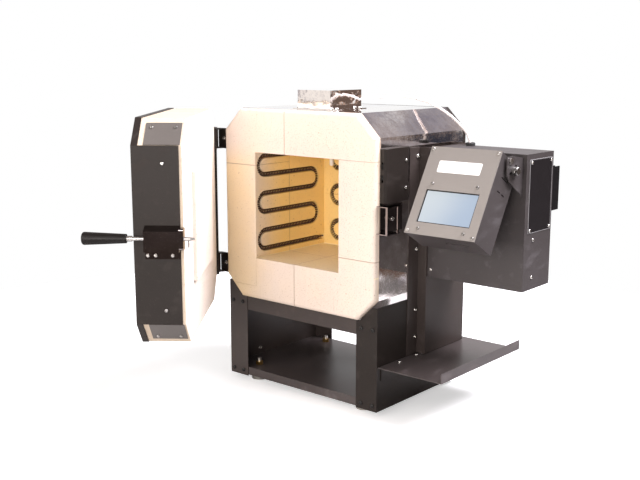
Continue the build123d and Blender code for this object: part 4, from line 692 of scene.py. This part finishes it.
wrap_braid(lead.data)
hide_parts("thermocouple_lead")


def moulding(name, dark, pale, roughness, depth, gloss=0.5):
    """Moulded rubber or plastic with a fine spark-eroded grain and faint flow clouds."""
    board, place = start_finish(name)
    cloud = grain(place, 40.0, 4.0)
    fine = grain(place, 1300.0, 2.0)
    colour = board.mix(cloud, dark, pale)
    sheen = cloud * 0.12 + fine * 0.08 + (roughness - 0.1)
    sockets = {
        "Base Color": colour,
        "Roughness": sheen,
        "Normal": relief(fine, depth),
        "Specular IOR Level": gloss,
    }
    return surface(board, sockets)


black_rubber = moulding("black_rubber", (0.016, 0.016, 0.016), (0.034, 0.033, 0.032), 0.7, 0.00006)
dress(black_rubber, "lead_grommet")

# Riser and power box. A black hat channel carries a grey powder-coated steel box, with a plain black
# plate on its right side and a finned heat sink behind. Relay, transformer and terminals sit inside.

dress(black_coat, "riser_channel")
grey_coat = powder_coat(
    "grey_coat",
    dark=(0.040, 0.034, 0.033),
    pale=(0.068, 0.059, 0.059),
    dust=(0.22, 0.20, 0.21),
    dust_share=0.16,
    gloss=0.3,
)
dress(grey_coat, "power_box_shell", "power_box_cover", "tilt_bracket", "controller_case")

label_low, label_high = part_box("label_plate")
rim_inner = 0.0013
rim_outer = 0.0009
board, place = start_finish("label_enamel")
label_y = axis_of(place, "Y")
label_z = axis_of(place, "Z")
from_side = (label_high.y - label_low.y) / 2 - abs(label_y - (label_low.y + label_high.y) / 2)
from_end = (label_high.z - label_low.z) / 2 - abs(label_z - (label_low.z + label_high.z) / 2)
from_edge = board.add("ShaderNodeMath", {"operation": "MINIMUM"}, {0: from_side, 1: from_end})
rim = 1 - board.band(from_edge, rim_outer, rim_inner)
cloud = grain(place, 60.0, 4.0)
enamel = board.mix(cloud, (0.006, 0.005, 0.006), (0.012, 0.010, 0.011))
enamel = board.mix(rim * 0.8, enamel, (0.30, 0.29, 0.29))
label_sockets = {
    "Base Color": enamel,
    "Roughness": cloud * 0.15 + 0.36,
    "Normal": relief(grain(place, 800.0, 2.0), 0.00002),
    "Specular IOR Level": 0.2,
}
dress(surface(board, label_sockets), "label_plate")

black_anodised = powder_coat(
    "black_anodised",
    dark=(0.004, 0.004, 0.004),
    pale=(0.009, 0.008, 0.009),
    dust=(0.03, 0.03, 0.03),
    dust_share=0.1,
    roughness=0.50,
    gloss=0.1,
)
black_moulding = moulding("black_moulding", (0.018, 0.018, 0.019), (0.040, 0.039, 0.040), 0.45, 0.00003)
dress(black_anodised, "heat_sink")
dress(black_moulding, "solid_state_relay", "terminal_strip", "cord_gland", "door_switch")

core_sheet = 0.0009
board, place = start_finish("wound_core")
core_z = axis_of(place, "Z")
sheets = sine_wave(core_z, core_sheet)
core_cloud = grain(place, 90.0, 4.0)
core_colour = board.mix(board.band(sheets, -0.4, 0.4), (0.06, 0.055, 0.05), (0.22, 0.20, 0.18))
core_colour = board.mix(core_cloud * 0.4, core_colour, (0.34, 0.20, 0.09))
core_sockets = {
    "Base Color": core_colour,
    "Roughness": core_cloud * 0.2 + 0.45,
    "Normal": relief(sheets, 0.00008),
}
dress(surface(board, core_sockets), "transformer")

# Hinges and screws. Black brackets and knuckles turn on plated pins; zinc-plated pan heads hold the
# sheets, and those on the stand's own posts are black.

dress(deep_coat_and_painted_shade, "hinge_brackets", "door_knuckles")
zinc_plate = plated_metal("zinc_plate", (0.26, 0.25, 0.24), (0.62, 0.60, 0.57), 0.27, (1.0, 1.0, 1.0))
dress(zinc_plate, "door_screws", "controller_screws", "hinge_pins", "lock_knob", "latch_rod")

board, place = start_finish("body_screw_plate")
screw_y = axis_of(place, "Y")
screw_z = axis_of(place, "Z")
stand_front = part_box("stand_left_side")[0].y
stand_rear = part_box("stand_left_side")[1].y
post_reach = 0.009
beyond = abs(screw_y - (stand_front + stand_rear) / 2) - (stand_rear - stand_front) / 2
near_the_end = board.band(beyond, -post_reach - 0.001, -post_reach)
on_post = near_the_end * (1 - board.band(screw_z, kiln_z - 0.001, kiln_z))
wear = grain(place, 300.0, 4.0)
bright = board.mix(wear, (0.52, 0.51, 0.48), (0.86, 0.84, 0.80))
screw_colour = board.mix(on_post, bright, (0.030, 0.028, 0.027))
screw_sockets = {
    "Base Color": screw_colour,
    "Roughness": wear * 0.15 + 0.18 + on_post * 0.15,
    "Metallic": 1 - on_post * 0.6,
    "Normal": relief(grain(place, 1200.0, 2.0), 0.00002),
}
dress(surface(board, screw_sockets), "body_screws")

# Door. A black sheet pan holds four bricks over a fibre blanket; dark plates across the cut corners
# are screwed to them. The brick facing has a raised plug that fills the mouth.

dress(deep_coat_and_painted_shade, "door_skin")
plate_coat = powder_coat(
    "plate_coat",
    dark=(0.095, 0.084, 0.076),
    pale=(0.135, 0.120, 0.109),
    dust=(0.30, 0.27, 0.25),
    dust_share=0.15,
    roughness=0.42,
)
dress(plate_coat, "door_corner_plates")

board, place = start_finish("ceramic_fibre")
fibres = grain(place, 700.0, 6.0, (1.0, 0.2, 1.0))
tufts = grain(place, 60.0, 4.0)
fleece = board.mix(fibres * 0.6 + tufts * 0.4, (0.72, 0.68, 0.60), (0.90, 0.88, 0.84))
fleece_sockets = {
    "Base Color": fleece,
    "Roughness": fibres * 0.1 + 0.88,
    "Normal": relief(fibres + tufts, 0.0004),
}
ceramic_fibre = surface(board, fleece_sockets)

door_angle = math.radians(-51.48)
hinge_low, hinge_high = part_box("hinge_pins")
hinge_place = np.array([(hinge_low.x + hinge_high.x) / 2, (hinge_low.y + hinge_high.y) / 2])
brick_low, brick_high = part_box("door_bricks")
brick_half = (brick_high.z - brick_low.z) / 2 * 1000
brick_cut = 40.0
door_middle = 179.0
rim_thickness = 0.8


def tan_rim(place, cloud, colour):
    """Tan sawn edges all round the door, where the eight-sided outline is near the bricks' half size."""
    board = place.board
    x, y, z = [axis_of(place, axis) for axis in "XYZ"]
    from_hinge = (x - hinge_place[0]) * math.cos(door_angle) + (y - hinge_place[1]) * math.sin(door_angle)
    across = abs(from_hinge * 1000 + (hinge_place[0] - kiln_x) * 1000)
    up = abs((z - kiln_z) * 1000 - door_middle)
    corner = across + up - (brick_half - brick_cut)
    widest = board.add("ShaderNodeMath", {"operation": "MAXIMUM"}, {0: across, 1: up})
    widest = board.add("ShaderNodeMath", {"operation": "MAXIMUM"}, {0: widest, 1: corner})
    rim = board.band(widest, brick_half - 2 * rim_thickness, brick_half - rim_thickness)
    return board.mix(rim * (0.6 + cloud * 0.4), colour, (0.60, 0.48, 0.35))


door_brick = firebrick("door_brick", (0.83, 0.73, 0.63), (0.91, 0.84, 0.77), tan_rim)
dress(door_brick, "door_bricks")

blanket_half = 177.3
blanket_cut = 38.4
blanket_front = -76.6
blanket_rear = -67.8
blanket_columns = 160
blanket_rows = 17
edge_power = 0.10
face_power = 0.45
tufts_round_edge = 23
tuft_depth = 0.004


def blanket_grid():
    """The blanket with the door closed: an eight-sided outline whose edge is rounded to both faces.

    The outline's radius at an angle is the least of half / |cos|, half / |sin| and
    (2 half - cut) / (|cos| + |sin|). From front to rear, at t between -90 and 90 degrees, the radius
    is multiplied by cos t to the edge's power and drawn in between the tufts, and the depth goes as
    sin t to the face's power.
    """
    angle = 2 * math.pi * np.arange(blanket_columns) / blanket_columns
    cosine = np.abs(np.cos(angle))
    sine = np.abs(np.sin(angle))
    flat = blanket_half / np.maximum(cosine, sine)
    radius = np.minimum(flat, (2 * blanket_half - blanket_cut) / (cosine + sine))
    turn = np.linspace(-math.pi / 2, math.pi / 2, blanket_rows + 2)[1:-1, None]
    share = np.cos(turn) ** edge_power
    depth = np.sign(np.sin(turn)) * np.abs(np.sin(turn)) ** face_power
    wobble = 1 - tuft_depth * (1 + np.sin(tufts_round_edge * angle)) * np.cos(turn)
    reach = share * radius * wobble
    y = (blanket_front + blanket_rear) / 2 + (blanket_rear - blanket_front) / 2 * depth
    y = np.broadcast_to(y, reach.shape)
    return np.stack([reach * np.cos(angle), y, door_middle + reach * np.sin(angle)], axis=-1)


def swung_open(points):
    """Points of the closed door, turned about the hinge to where the door rests."""
    away = points[..., :2] - hinge_place
    x = hinge_place[0] + away[..., 0] * math.cos(door_angle) - away[..., 1] * math.sin(door_angle)
    y = hinge_place[1] + away[..., 0] * math.sin(door_angle) + away[..., 1] * math.cos(door_angle)
    return np.stack([x, y, points[..., 2]], axis=-1)


blanket_points = swung_open(kiln_points(blanket_grid()))
blanket = closed_piece("fibre_blanket", [blanket_points], "door", ceramic_fibre)
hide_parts("door_blanket")

# Latch. A plated rod turns in a polished housing on the door's edge; its tapered grip is moulded in
# black phenolic, and a cross pin on the rod catches behind the keeper.

phenolic = moulding("phenolic", (0.005, 0.004, 0.003), (0.009, 0.007, 0.006), 0.42, 0.00002, 0.25)
dress(phenolic, "latch_grip")

# Controller. A grey case tilts between two ears; its front is a plate with a fine brushed grain,
# with a lit touch display behind the window and a plain white badge above it.

plate_low, plate_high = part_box("controller_front_plate")
plate_tilt = math.radians(30.0)
plate_thickness = 0.002
plate_x = (plate_low.x + plate_high.x) / 2
plate_y = plate_low.y
plate_z = plate_low.z + plate_thickness * math.sin(plate_tilt)


def up_the_plate(place):
    """Height up the tilted plate from its lower front edge."""
    y = axis_of(place, "Y")
    z = axis_of(place, "Z")
    return (y - plate_y) * math.sin(plate_tilt) + (z - plate_z) * math.cos(plate_tilt)


def across_the_plate(place):
    """Distance right of the plate's middle."""
    return axis_of(place, "X") - plate_x


board, place = start_finish("front_plate_finish")
brush = grain(place, 1500.0, 2.0, (0.03, 1.0, 1.0))
cloud = grain(place, 18.0, 5.0)
plate_colour = board.mix(cloud * 0.6 + brush * 0.4, (0.240, 0.218, 0.200), (0.325, 0.300, 0.278))
plate_sockets = {
    "Base Color": plate_colour,
    "Roughness": brush * 0.16 + 0.39,
    "Metallic": cloud * 0.2 + 0.25,
    "Normal": relief(brush, 0.00003),
}
dress(surface(board, plate_sockets), "controller_front_plate")

glass_middle = 0.050
lit_half_width = 0.0480
lit_half_height = 0.0272
edge_blur = 0.0002
pixel_pitch = 0.0006
board, place = start_finish("lit_display")
up = up_the_plate(place)
across = across_the_plate(place)
black_edge = board.band(abs(across), lit_half_width - edge_blur, lit_half_width + edge_blur)
above = abs(up - glass_middle)
black_edge = black_edge + board.band(above, lit_half_height - edge_blur, lit_half_height + edge_blur)
pixels = sine_wave(across, pixel_pitch) * 0.02
slope = board.band(across * 0.9 - (up - glass_middle) * 0.5 + grain(place, 12.0, 2.0) * 0.03, -0.045, 0.065)
screen_colour = board.mix(slope + pixels, (0.74, 0.79, 0.81), (0.40, 0.50, 0.66))
edge_share = board.band(black_edge, 0.2, 0.8)
glow = board.mix(edge_share, screen_colour, (0.0, 0.0, 0.0))
glass = board.mix(edge_share, (0.10, 0.12, 0.14), (0.008, 0.008, 0.009))
display_sockets = {
    "Base Color": glass,
    "Roughness": grain(place, 60.0, 4.0) * 0.08 + 0.06,
    "Emission Color": glow,
    "Emission Strength": 0.66,
}
dress(surface(board, display_sockets), "display_module")

board, place = start_finish("circuit_green")
tracks = board.add("ShaderNodeTexVoronoi", {"distance": "CHEBYCHEV"}, {"Vector": place, "Scale": 260.0})
solder = board.band(tracks, 0.42, 0.5)
lacquer = board.mix(grain(place, 90.0, 3.0), (0.008, 0.085, 0.030), (0.015, 0.150, 0.055))
lacquer = board.mix(solder * 0.6, lacquer, (0.42, 0.40, 0.30))
circuit_sockets = {"Base Color": lacquer, "Roughness": 0.5 - solder * 0.2, "Normal": relief(solder, 0.0001)}
dress(surface(board, circuit_sockets), "circuit_board")

badge_half_width = 40.5
badge_half_height = 10.5
badge_corner = 2.6
badge_chamfer = 0.1
badge_thickness = 0.25
badge_middle_across = -1.5
badge_middle_up = 120.5


def badge_grid():
    """Four quarter circles round a rectangle: (middle + r cos a, middle + r sin a) at three thicknesses.

    The radius is smaller by the chamfer on the outer face.
    """
    quarter = np.linspace(0.0, math.pi / 2, 9)
    angle = (np.arange(4)[:, None] * math.pi / 2 + quarter[None, :]).ravel()
    quadrant = np.repeat(np.arange(4), len(quarter))
    x_middle = np.where((quadrant == 0) | (quadrant == 3), 1, -1) * (badge_half_width - badge_corner)
    y_middle = np.where(quadrant < 2, 1, -1) * (badge_half_height - badge_corner)
    insets = np.array([0.0, 0.0, badge_chamfer])
    lifts = np.array([0.0, badge_thickness * 0.7, badge_thickness])
    radius = badge_corner - insets[:, None]
    x = x_middle + radius * np.cos(angle)
    y = y_middle + radius * np.sin(angle)
    return np.stack([x, y, np.broadcast_to(lifts[:, None], x.shape)], axis=-1)


badge = badge_grid()
badge_across = badge_middle_across + badge[..., 0]
badge_up = badge_middle_up + badge[..., 1]
badge_out = badge[..., 2]
badge_points = np.stack(
    [
        plate_x + badge_across / 1000,
        plate_y + (badge_up * math.sin(plate_tilt) - badge_out * math.cos(plate_tilt)) / 1000,
        plate_z + (badge_up * math.cos(plate_tilt) + badge_out * math.sin(plate_tilt)) / 1000,
    ],
    axis=-1,
)
board, place = start_finish("white_vinyl")
vinyl_cloud = grain(place, 45.0, 4.0)
vinyl = board.mix(vinyl_cloud, (0.84, 0.82, 0.79), (0.93, 0.92, 0.90))
vinyl_sockets = {
    "Base Color": vinyl,
    "Roughness": vinyl_cloud * 0.12 + 0.30,
    "Normal": relief(grain(place, 700.0, 2.0), 0.00002),
}
white_vinyl = surface(board, vinyl_sockets)
closed_piece("blank_badge", [badge_points], "controller", white_vinyl, sharp=30.0)
